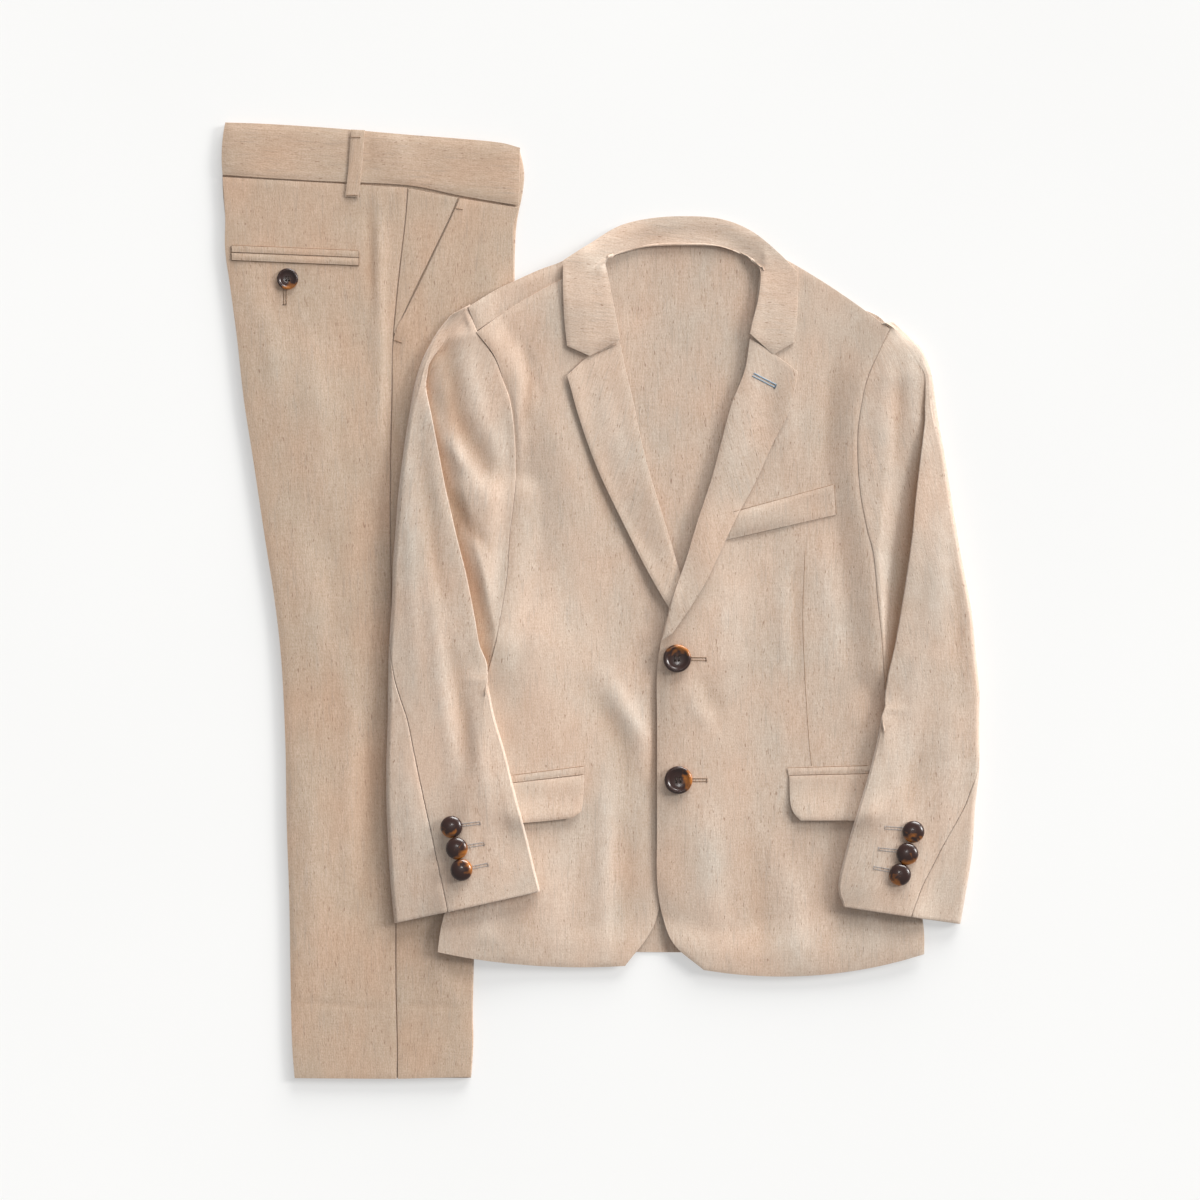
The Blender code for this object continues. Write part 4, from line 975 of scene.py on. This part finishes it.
def sleeve(side):
    """A flattened sleeve of two pieces, the under sleeve turning over the outer edge."""
    cloth = bpy.context.scene.suit_cloth
    thickness, cell = cloth.body_thickness / MM, cloth.body_cell / MM
    sections = SLEEVES[side]
    count = round(line_length(np.column_stack([sections["outer_x"], sections["outer_y"]])) / cell)
    outer, inner, seam, share, arm, valley, end = dense_rows(sections, count)
    wide = np.linalg.norm(inner - outer, axis=1, keepdims=True)
    along = (inner - outer) / wide
    at_armhole = np.clip((ARMHOLE_TOP - end) / 0.3, 0, 1)
    seamed = reach_to(smooth_line(armhole(side), 1500), outer, along, wide) + 0.5
    starts = np.clip(1 - np.linspace(0, line_length(outer), count)[:, None] / HEAD_REACH, 0, 1) ** 2
    wide = blur(wide + (seamed - wide) * at_armhole, 3) + HEAD_TUCK * starts
    feelers = np.linspace(0, 1, 40)
    # At the armhole the sleeve stands beside the front, and below it on the front
    stand = 1 - np.minimum(4.0 * at_armhole / wide, 0.5)
    footprint = outer[:, None] + along[:, None] * (wide * stand)[..., None] * feelers[None, :, None]
    ground = settled(PILE.top(footprint) + LAY_GAP, 30)
    # How high the front is beside the sleeve
    beside = PILE.top(outer + along * (wide + 1.5), 1) - ground[:, -1]
    level = np.clip(blur(beside[:, None], 8), 1.0, 9.0) + end - LEVEL
    # Its edges, its seam and its fold, across from the outer edge
    edge = np.minimum(np.minimum(SLEEVE_EDGE, wide * 0.25), np.maximum(0.55 * share * wide, 2.2))
    forearm = np.clip((end - 6.0) / 2.0, 0, 1)
    inner_edge = np.minimum(ARMHOLE_EDGE + (FOREARM_EDGE - ARMHOLE_EDGE) * forearm, wide * 0.2)
    end = end + (np.maximum(level, 0.9) - end) * at_armhole * (1 - starts)
    turn = edge * math.pi / 2
    seam = np.minimum(seam + np.where(seam > 0, turn - edge, 0), 0.5 * wide)
    gap = SEAM_AIR + thickness / 2
    fold = np.clip(share * wide, edge + 2.0, wide - inner_edge - 2.0)
    folded = np.clip((arm - valley) / 1.5, 0, 1)
    room = np.maximum(wide - inner_edge - fold, 1.0)

    def span(start, stop, number):
        return start + (stop - start) * np.linspace(0, 1, number)

    def dropped(place):
        """How far a place is down the drop at the fold, from 0 to 1."""
        return np.clip((place - fold) / FOLD_DROP, 0, 1)

    def lift(place):
        """Height of the upper side above the ground: the arm, the drop at its fold, the armhole."""
        past = eased(dropped(place))
        beyond = np.clip((place - fold) / room, 0, 1)
        dip = np.minimum(VALLEY_DIP[side], 0.9 * room)
        rise = np.clip((place - fold) / dip, 0, 1) ** VALLEY_SHAPE[side]
        low = valley * (1 - rise) + end * rise
        across = np.clip((place - edge) / (wide - edge - inner_edge), 0, 1)
        crown = SLEEVE_CROWN * np.sin(np.pi * across) * (1 - folded * np.clip(beyond * 4, 0, 1))
        lip = 0.4 * folded * np.exp(-(((place - fold + 3.0) / 4.0) ** 2))
        return arm * (1 - past) + low * past + (crown + lip) * (1 - past * folded)

    def lean(place, height):
        """How far the fold hangs over the valley beside it."""
        ahead = np.clip((place - fold + LEAN_START) / LEAN_START, 0, 1) ** 2
        shown = np.clip(height / np.maximum(lift(place), 0.1), 0, 1)
        cover = FOLD_COVER * np.clip((fold / wide - 0.82) / 0.1, 0, 1)
        return blur(folded * (FOLD_LEAN + cover), 6) * ahead * (1 - dropped(place)) * shown

    def valley_painted_shade(place):
        """Painted shade in the valley beside the fold, as a depth below 0, in millimetres."""
        near = np.exp(-(((place - fold) / VALLEY_SPREAD) ** 2))
        return -VALLEY_SHADE * folded * dropped(place) * near

    def ring(way):
        """Place and height at a way round the outer edge: above 0 over it, below 0 under it."""
        bend = np.clip(way / turn, -1, 1) * math.pi / 2
        place = edge * (1 - np.cos(bend)) + np.maximum(np.abs(way) - turn, 0)
        return place, arm / 2 * (1 + np.sin(bend)) + np.where(way > turn, lift(place) - arm, 0)

    low_way = -(turn + FOREARM * wide - edge - gap)
    stop = seam - gap
    middle = np.minimum(stop - 0.8, turn)
    under, under_height = ring(np.hstack([
        span(low_way, -turn, 12)[:, :-1], span(-turn, middle, 10)[:, :-1], span(middle, stop, 9)
    ]))
    # Rows are closest together where the fold drops
    start = seam + gap
    over = np.maximum(start + 0.8, turn)
    body_end = turn + wide - inner_edge - edge
    fold_way = fold + turn - edge
    near = np.maximum(over + 1.0, fold_way - 3.5)
    after = np.minimum(np.maximum(near + 1.0, fold_way + 3.5), np.maximum(near + 1.0, body_end - 0.6))
    body, body_height = ring(np.hstack([
        span(start, over, 7)[:, :-1], span(over, near, 22)[:, :-1],
        span(near, after, 14)[:, :-1], span(after, np.maximum(near + 2.0, body_end), 20),
    ]))
    turns = np.radians(np.linspace(80, -90, 9))
    under_end = span(wide - inner_edge, FOREARM * wide + gap, 7)[:, 1:]
    upper = np.hstack([body, wide - inner_edge * (1 - np.cos(turns)), under_end])
    upper_height = np.hstack([body_height, end / 2 * (1 + np.sin(turns)), np.zeros(under_end.shape)])
    down = distances(outer)
    seed, patch = SLEEVE_CUT[side]
    for piece, place, height in (("under", under, under_height), ("upper", upper, upper_height)):
        rows = zip(place, wide * stand, ground)
        base = np.array([np.interp(at / reach, feelers, row) for at, reach, row in rows])
        base = base + HEAD_LIFT * starts
        plan = outer[:, None] + along[:, None] * (place + lean(place, height))[..., None]
        bumps = creased(plan, CREASES[f"sleeve_{side}"]) * cloth.crease_depth
        bumps += cloth.rumple / MM * rumpled(plan, cloth.rumple_size / MM, seed)
        top = np.clip(height / np.maximum(lift(place), 0.1), 0, 1) ** 2
        surface = np.dstack([plan, base + np.maximum(height + bumps * top, np.minimum(height, 2.5))])
        lengthways = np.repeat(down[:, None], place.shape[1], 1)
        grain = np.dstack([place + patch, lengthways, surface[..., 2]])
        skin = surface - normals_of(surface) * np.minimum(thickness, 0.12 * wide)[..., None]
        skin[..., 2] = np.maximum(skin[..., 2], 0.05)
        node = f"jacket_{piece}_sleeve_{side}"
        # The creases, the rumple and the valley beside the fold are painted paler and darker as light and shade
        nap = painted_shade_from_folds((bumps + valley_painted_shade(place)) * top)
        made = wall(node + "_cloth", surface, skin, grain, finish_of("jacket"), nap)
        lengths = np.linalg.norm(np.diff(surface, axis=1), axis=2).sum(1)
        one, two = surface[1:, 1:] - surface[:-1, :-1], surface[1:, :-1] - surface[:-1, 1:]
        area = float(np.linalg.norm(np.cross(one, two), axis=2).sum() / 2) * MM * MM
        size = (float(lengths.max()) * MM, float(down[-1]) * MM)
        laid(made, node, size, area)


# ---------------------------------------------------------------- buttons

# Place, kind, and the side on which the resin is amber, in degrees from the wearer's left
BUTTONS = {
    "front_button_upper": (57.5, -43.5, "front", 65),
    "front_button_lower": (58.5, -134.5, "front", 15),
    "back_pocket_button": (-234, 240.5, "pocket", -85),
    "cuff_button_right_1": (-111, -169, "cuff", -110),
    "cuff_button_right_2": (-107, -185, "cuff", -35),
    "cuff_button_right_3": (-103.5, -201, "cuff", 35),
    "cuff_button_left_1": (234, -173, "cuff", -95),
    "cuff_button_left_2": (229.5, -189.5, "cuff", -85),
    "cuff_button_left_3": (224, -205, "cuff", -140),
}
# Turned profiles from the foot's middle over the edge to the top's middle, in shares of the diameter
FLAT_PROFILE = (
    (0.0, 0.0), (0.36, 0.0), (0.44, 0.02), (0.49, 0.06), (0.5, 0.10), (0.49, 0.14), (0.46, 0.172),
    (0.42, 0.182), (0.38, 0.172), (0.35, 0.15), (0.32, 0.135), (0.28, 0.128), (0.2, 0.12), (0.1, 0.116),
    (0.0, 0.115),
)
DOME_PROFILE = (
    (0.0, 0.0), (0.36, 0.0), (0.45, 0.03), (0.495, 0.07), (0.5, 0.11), (0.49, 0.15), (0.455, 0.195),
    (0.40, 0.235), (0.33, 0.262), (0.25, 0.282), (0.15, 0.295), (0.07, 0.299), (0.0, 0.3),
)
BUTTON_SIDES = 56
# A stitch from one hole to the next: how far along, and how high over the button's middle
STITCH = ((-1, -1.2), (-0.85, 0.1), (0, 0.35), (0.85, 0.1), (1, -1.2))


def turned(name, profile, diameter, finish, place, base):
    """A body turned from a profile, standing at a place."""
    ring = np.linspace(0, 2 * math.pi, BUTTON_SIDES, endpoint=False)
    points, faces = [(0, 0, profile[0][1] * diameter)], []
    for radius, height in profile[1:-1]:
        radius, height = radius * diameter, height * diameter
        points += [(radius * math.cos(turn), radius * math.sin(turn), height) for turn in ring]
    points.append((0, 0, profile[-1][1] * diameter))
    last = len(points) - 1
    for side in range(BUTTON_SIDES):
        after = (side + 1) % BUTTON_SIDES
        faces.append((0, 1 + after, 1 + side))
        for low in range(1, last - BUTTON_SIDES, BUTTON_SIDES):
            high = low + BUTTON_SIDES
            faces.append((low + side, low + after, high + after, high + side))
        faces.append((last, last - BUTTON_SIDES + side, last - BUTTON_SIDES + after))
    made = mesh_object(name, points, faces, finish)
    made.location = (place[0] * MM, place[1] * MM, base * MM)
    return made


def cast(made, amber):
    """Turns the resin's grain to the side on which it is amber, and gives each button its own clouds."""
    x, y, z = np.array([tuple(vertex.co) for vertex in made.data.vertices]).T
    turn = math.radians(amber)
    across, along = x * math.cos(turn) + y * math.sin(turn), y * math.cos(turn) - x * math.sin(turn)
    store(made, "grain", np.column_stack([across, along, z + amber * MM]))


def drilled(made, diameter, hole, spacing):
    """Cuts four sewing holes through a button."""
    cutters = bmesh.new()
    for turn in range(4):
        angle = math.pi / 4 + turn * math.pi / 2
        at = Vector((math.cos(angle), math.sin(angle), 0)) * spacing * MM
        before = set(cutters.verts)
        radius = hole / 2 * MM
        bmesh.ops.create_cone(
            cutters, cap_ends=True, segments=20, radius1=radius, radius2=radius, depth=diameter * MM
        )
        bmesh.ops.translate(cutters, vec=at, verts=[vertex for vertex in cutters.verts if vertex not in before])
    mesh = bpy.data.meshes.new("cutters")
    cutters.to_mesh(mesh)
    cutters.free()
    tool = bpy.data.objects.new("cutters", mesh)
    tool.location = made.location
    bpy.context.scene.collection.objects.link(tool)
    modifier = made.modifiers.new("holes", "BOOLEAN")
    modifier.object = tool
    modifier.solver = "EXACT"
    bpy.context.view_layer.update()
    cut = bpy.data.meshes.new_from_object(made.evaluated_get(bpy.context.evaluated_depsgraph_get()))
    made.modifiers.clear()
    made.data = cut
    made.data.shade_smooth()
    made.data.set_sharp_from_angle(angle=math.radians(50))
    bpy.data.objects.remove(tool)


# ---------------------------------------------------------------- sewing

# Buttonholes: garment, thread, its share of the usual thickness, width, pitch, and X and Y of each slit's
# two ends
BUTTONHOLES = (
    ("lapel_buttonhole", "jacket", "lapel", 1.0, 2.6, 0.45, (114.5, 169, 131, 160.5)),
    ("front_buttonhole_upper", "jacket", "self", 0.5, 2.5, 0.5, (60, -43.5, 79, -44)),
    ("front_buttonhole_lower", "jacket", "self", 0.5, 2.5, 0.5, (60, -134.5, 79.5, -134.5)),
    (
        "cuff_buttonholes_right", "jacket", "cuff", 0.36, 2.2, 1.3,
        (-106, -168, -90, -166), (-102, -184, -87, -181.5), (-98.5, -200, -84, -197),
    ),
    (
        "cuff_buttonholes_left", "jacket", "cuff", 0.36, 2.2, 1.3,
        (229, -171, 213.5, -170), (224.5, -187.5, 208.5, -186), (219, -202.5, 205, -200),
    ),
    ("pocket_buttonhole", "trousers", "self", 0.45, 2.2, 0.5, (-236, 236, -236, 222)),
)
# Bar tacks: X and Y of the middle, then of its way, then length and width
TACKS = (
    ("side_pocket_tacks", (-152, 194, 1.0, -0.35, 7.5, 1.1), (-106, 293, 1.0, -0.15, 6, 0.9)),
    ("belt_loop_tacks", (-184, 346.5, 1.0, 0.0, 9, 0.8), (-186, 303, 1.0, 0.0, 9, 0.8)),
    ("back_pocket_tacks", (-276.3, 260, 0.0, 1.0, 10, 0.7), (-180.7, 256, 0.0, 1.0, 11, 0.7)),
)
# X and Y along the seams round the pockets, and down the front dart
POCKET_SEAMS = (
    (-66.5, -130.8, -11, -124), (140, -125.6, 200.5, -123.8), (-276, 265.9, -181, 261.9),
    (-276, 254.3, -181, 250.3), (100, 66.3, 175.2, 86.9, 176.9, 64),
)
DART = (153.5, 37, 152, -1, 152, -23, 153.5, -60, 156, -100, 158.3, -124)


def tube(points, radius, sides=6):
    """Points and faces of a closed tube along a line, in millimetres."""
    points = np.asarray(points, float)
    way = np.gradient(points, axis=0)
    way /= np.maximum(np.linalg.norm(way, axis=1, keepdims=True), 1e-9)
    across = np.cross(way, (0, 0, 1.0))
    across /= np.maximum(np.linalg.norm(across, axis=1, keepdims=True), 1e-9)
    upward = np.cross(across, way)
    turns = np.linspace(0, 2 * math.pi, sides, endpoint=False)[None, :, None]
    rings = points[:, None] + radius * (across[:, None] * np.cos(turns) + upward[:, None] * np.sin(turns))
    index = np.arange(len(points) * sides).reshape(len(points), sides)
    after = np.roll(index, -1, axis=1)
    faces = np.stack([index[:-1], after[:-1], after[1:], index[1:]], -1).reshape(-1, 4).tolist()
    return rings.reshape(-1, 3), [*faces, index[0, ::-1].tolist(), index[-1].tolist()]


def on_cloth(line, lift):
    """A plan line as points on the pile, raised by `lift`."""
    line = np.asarray(line, float)
    return np.column_stack([line, PILE.top(line, 0) + lift])


def sewn(name, lines, radius, finish, slot):
    """One piece of sewing from several lines of thread that lie on the cloth."""
    points, faces = [], []
    for line in lines:
        more, around = tube(line, radius)
        faces += [[corner + len(points) for corner in face] for face in around]
        points += more.tolist()
    carried(mesh_object(name, points, faces, finish_of(finish)), slot)


def buttonhole(slit, width, pitch):
    """Zigzag stitching down both lips of a slit, with a bar across its far end."""
    start, end = np.reshape(slit, (2, 2)).astype(float)
    long = np.linalg.norm(end - start)
    way = (end - start) / long
    side = np.array([-way[1], way[0]])
    lines = []
    for lip in (side, -side):
        steps = range(int(long / pitch) + 1)
        zigzag = [start + way * step * pitch + lip * (width / 4 if step % 2 else width / 2) for step in steps]
        edge = [start + way * long * share + lip * width / 2 for share in np.linspace(0, 1, 12)]
        lines += [on_cloth(zigzag, 0.2), on_cloth(edge, 0.15)]
    bar = [end + side * (width * 0.75) * (1 if step % 2 else -1) + way * step * 0.12 for step in range(7)]
    return [*lines, on_cloth(bar, 0.3)]


def bar_tack(x, y, along_x, along_y, long, width):
    """A short bar of close stitches across a line."""
    middle, way = np.array((x, y), float), np.array((along_x, along_y)) / math.hypot(along_x, along_y)
    side = np.array([-way[1], way[0]])
    zigzag = [
        middle + way * (share - 0.5) * long + side * (width / 2 if step % 2 else -width / 2)
        for step, share in enumerate(np.linspace(0, 1, max(6, int(long / 0.35))))
    ]
    return on_cloth(zigzag, 0.2)


# ---------------------------------------------------------------- operators


def lay_panels(context, *rows):
    """Lays panels in order. Each row is a piece, its mesh, its thickness and what is below it, which is not
    used.
    """
    cloth = context.scene.suit_cloth
    for name, cell, thickness, below in rows:
        panel(name, getattr(cloth, cell + "_cell"), getattr(cloth, thickness + "_thickness"))
    return {"FINISHED"}


def side_property():
    sides = [("right", "Right", ""), ("left", "Left", "")]
    return bpy.props.EnumProperty(name="Side", description="The wearer's side", items=sides)


class SUIT_OT_inner_layers(bpy.types.Operator):
    """The trousers' folded inner layers, seen at their edges"""

    bl_idname = "suit.inner_layers"
    bl_label = "Folded inner layers"

    def execute(self, context):
        name = "trousers_hidden_layers"
        plan, _ = panel_grid(name, context.scene.suit_cloth.hidden_cell / MM)
        flat = drawn_in(plan, 0.6)
        top = LAYERS_TOP - LAYERS_FALL * np.exp(-edge_distance(plan) / LAYERS_REACH)
        outer, inner = np.dstack([flat, top]), np.dstack([flat, np.full(top.shape, 0.05)])
        # No painted light or shade here: the middle value all over
        grain, nap = grain_of(outer, name), painted_shade_from_folds(0 * top)
        made = wall(name + "_cloth", outer, inner, grain, finish_of("trousers"), nap, LAYERS_EDGE, 1.0)
        laid(made, name, flat_size(plan), flat_area(plan))
        return {"FINISHED"}


class SUIT_OT_trouser_leg(bpy.types.Operator):
    """The outer side of the right trouser leg, with its side pocket"""

    bl_idname = "suit.trouser_leg"
    bl_label = "Trouser leg"

    def execute(self, context):
        below = ["trousers_hidden_layers_cloth"]
        return lay_panels(
            context,
            ("trousers_back_leg", "body", "body", below),
            ("trousers_pocket_bearer", "trim", "body", below),
            ("trousers_front_leg", "body", "body", below),
        )


class SUIT_OT_waistband(bpy.types.Operator):
    """The waistband, its belt loop and the back pocket's welts"""

    bl_idname = "suit.waistband"
    bl_label = "Waistband and back pocket"

    def execute(self, context):
        return lay_panels(
            context,
            ("trousers_waistband", "trim", "edge", ["trousers_hidden_layers_cloth"]),
            ("trousers_belt_loop", "trim", "welt", ["trousers_waistband_cloth"]),
            ("trousers_back_welt_upper", "trim", "welt", ["trousers_back_leg_cloth"]),
            ("trousers_back_welt_lower", "trim", "welt", ["trousers_back_leg_cloth"]),
        )


class SUIT_OT_jacket_back(bpy.types.Operator):
    """The jacket's back, and the strip of it that turns over the right shoulder"""

    bl_idname = "suit.jacket_back"
    bl_label = "Jacket back"

    def execute(self, context):
        return lay_panels(
            context,
            ("jacket_back", "hidden", "body", ["table", "trousers_back_leg_cloth"]),
            ("jacket_back_shoulder_right", "trim", "body", ["jacket_back_cloth"]),
        )


class SUIT_OT_front(bpy.types.Operator):
    """One front of the jacket, with its hip pocket, its lapel and, on the left, the breast pocket"""

    bl_idname = "suit.front"
    bl_label = "Jacket front"

    side: side_property()

    def execute(self, context):
        front = f"jacket_front_{self.side}"
        on_front = [front + "_cloth"]
        lay_panels(
            context,
            (front, "body", "body", ["jacket_back_cloth"]),
            (f"jacket_jet_{self.side}", "trim", "welt", on_front),
            (f"jacket_flap_{self.side}", "trim", "edge", on_front),
        )
        if self.side == "left":
            lay_panels(context, ("jacket_breast_welt", "trim", "welt", on_front))
        return lay_panels(context, (f"jacket_lapel_{self.side}", "trim", "edge", on_front))


class SUIT_OT_collar(bpy.types.Operator):
    """The collar, from its right point round the back of the neck to its left point"""

    bl_idname = "suit.collar"
    bl_label = "Collar"

    def execute(self, context):
        below = ["jacket_back_cloth", "jacket_front_right_cloth", "jacket_front_left_cloth"]
        return lay_panels(context, ("jacket_collar", "trim", "edge", below))


class SUIT_OT_sleeve(bpy.types.Operator):
    """One flattened sleeve, of an upper and an under piece"""

    bl_idname = "suit.sleeve"
    bl_label = "Sleeve"

    side: side_property()

    def execute(self, context):
        sleeve(self.side)
        return {"FINISHED"}


class SUIT_OT_sewing(bpy.types.Operator):
    """Buttonholes, bar tacks, the pockets' seams and the front dart"""

    bl_idname = "suit.sewing"
    bl_label = "Buttonholes and tacks"

    def execute(self, context):
        radius = context.scene.suit_sewing.thread / 2 / MM
        for name, garment, thread, share, width, pitch, *slits in BUTTONHOLES:
            lines = [line for slit in slits for line in buttonhole(slit, width, pitch)]
            sewn(name, lines, radius * share, thread, SLOTS[garment])
        for name, *tacks in TACKS:
            sewn(name, [bar_tack(*tack) for tack in tacks], radius * 0.6, "self", "trouser_cloth")
        lines = [on_cloth(smooth_line(np.reshape(seam, (-1, 2)), 60), 0.05) for seam in POCKET_SEAMS]
        sewn("pocket_seams", lines, radius * 0.6, "self", "jacket_cloth")
        dart = on_cloth(smooth_line(np.reshape(DART, (-1, 2)), 90), 0.0)
        sewn("front_dart", [dart], radius * 0.7, "self", "jacket_cloth")
        return {"FINISHED"}


class SUIT_OT_buttons(bpy.types.Operator):
    """All the buttons: flat ones with four holes on the front and back pocket, domed ones on the cuffs"""

    bl_idname = "suit.buttons"
    bl_label = "Buttons"

    def execute(self, context):
        sizes = context.scene.suit_buttons
        radius = context.scene.suit_sewing.thread / 2 / MM
        ring = np.linspace(0, 2 * math.pi, 24, endpoint=False)
        for name, (x, y, kind, amber) in BUTTONS.items():
            diameter = getattr(sizes, kind + "_diameter") / MM
            foot = 0.36 * diameter
            rim = np.column_stack([x + foot * np.cos(ring), y + foot * np.sin(ring)])
            base = float(PILE.top(rim, 0).max()) + 0.2
            profile = DOME_PROFILE if kind == "cuff" else FLAT_PROFILE
            made = turned(name + "_turned", profile, diameter, finish_of("resin"), (x, y), base)
            if kind != "cuff":
                spacing = 0.1 * diameter
                drilled(made, diameter, sizes.hole / MM, spacing)
                top = base + FLAT_PROFILE[-1][1] * diameter
                lines = [
                    [(x + side * spacing * 0.7 + thread, y + share * spacing * 0.9, top + high)
                     for share, high in STITCH]
                    for side in (-1, 1) for thread in (-0.22, 0.22)
                ]
                sewn(name + "_stitches", lines, radius * 0.8, "button", "button_resin")
            cast(made, amber)
            carried(made, "button_resin", name)
        return {"FINISHED"}


class SUIT_OT_studio(bpy.types.Operator):
    """The table, the light and the camera straight above"""

    bl_idname = "suit.studio"
    bl_label = "Studio"

    def execute(self, context):
        scene, studio = context.scene, context.scene.suit_studio
        half = 6 / MM
        corners = [(-half, -half, 0), (half, -half, 0), (half, half, 0), (-half, half, 0)]
        finish = light_table("opal_acrylic_light_table", studio.floor_colour, studio.table_glow)
        mesh_object("table", corners, [(0, 1, 2, 3)], finish)
        world = bpy.data.worlds.new("studio")
        world.use_nodes = True
        tree = world.node_tree
        tree.nodes.clear()
        sky = add(tree, "Background", {"Color": (1.0, 1.0, 1.0, 1.0), "Strength": studio.sky})
        add(tree, "OutputWorld", {}, {"Surface": sky})
        scene.world = world
        for name in ("key", "broad", "top"):
            light = bpy.data.lights.new(name, "SUN")
            light.energy = getattr(studio, name)
            light.angle = getattr(studio, name + "_softness")
            light.color = linear("#FFFEFC")[:3]
            lamp = bpy.data.objects.new(name, light)
            height, side = getattr(studio, name + "_height"), getattr(studio, name + "_side")
            flat = math.cos(height)
            toward = Vector((flat * math.cos(side), flat * math.sin(side), math.sin(height)))
            lamp.rotation_euler = toward.to_track_quat("Z", "Y").to_euler()
            scene.collection.objects.link(lamp)
        camera = bpy.data.cameras.new("camera")
        camera.sensor_width = 36.0
        camera.lens = studio.lens
        camera.clip_end = 20.0
        eye = bpy.data.objects.new("camera", camera)
        eye.location = (-0.0002, 0.0002, studio.camera_height)
        scene.collection.objects.link(eye)
        scene.camera = eye
        scene.view_settings.view_transform = "Standard"
        return {"FINISHED"}


class SUIT_PT_panel(bpy.types.Panel):
    """The suit's pieces, in the order in which they are laid"""

    bl_idname = "SUIT_PT_panel"
    bl_label = "Two-piece suit"
    bl_space_type = "VIEW_3D"
    bl_region_type = "UI"
    bl_category = "Suit"

    def draw(self, context):
        for group in GROUPS:
            box = self.layout.box()
            box.label(text=group.removeprefix("suit_").title())
            settings = getattr(context.scene, group)
            for name in settings.__annotations__:
                box.prop(settings, name)
        for name in ("inner_layers", "trouser_leg", "waistband", "jacket_back"):
            self.layout.operator("suit." + name)
        for name in ("front", "sleeve"):
            for side in ("right", "left"):
                self.layout.operator("suit." + name, text=f"{name.title()}, {side}").side = side
        for name in ("collar", "buttons", "sewing", "studio"):
            self.layout.operator("suit." + name)


GROUPS = {
    "suit_cloth": SUIT_PG_cloth, "suit_buttons": SUIT_PG_buttons, "suit_sewing": SUIT_PG_sewing,
    "suit_studio": SUIT_PG_studio,
}
CLASSES = (
    *GROUPS.values(), SUIT_OT_inner_layers, SUIT_OT_trouser_leg, SUIT_OT_waistband, SUIT_OT_jacket_back,
    SUIT_OT_front, SUIT_OT_collar, SUIT_OT_sleeve, SUIT_OT_sewing, SUIT_OT_buttons, SUIT_OT_studio,
    SUIT_PT_panel,
)


def register():
    for kind in CLASSES:
        bpy.utils.register_class(kind)
    for name, group in GROUPS.items():
        setattr(bpy.types.Scene, name, bpy.props.PointerProperty(type=group))


def unregister():
    for name in GROUPS:
        delattr(bpy.types.Scene, name)
    for kind in reversed(CLASSES):
        bpy.utils.unregister_class(kind)


def main():
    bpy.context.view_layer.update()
    register()
    bpy.ops.suit.inner_layers()
    bpy.ops.suit.trouser_leg()
    bpy.ops.suit.waistband()
    bpy.ops.suit.jacket_back()
    bpy.ops.suit.front(side="right")
    bpy.ops.suit.front(side="left")
    bpy.ops.suit.collar()
    bpy.ops.suit.sleeve(side="right")
    bpy.ops.suit.sleeve(side="left")
    bpy.ops.suit.sewing()
    bpy.ops.suit.buttons()
    bpy.ops.suit.studio()


if __name__ == "__main__":
    main()
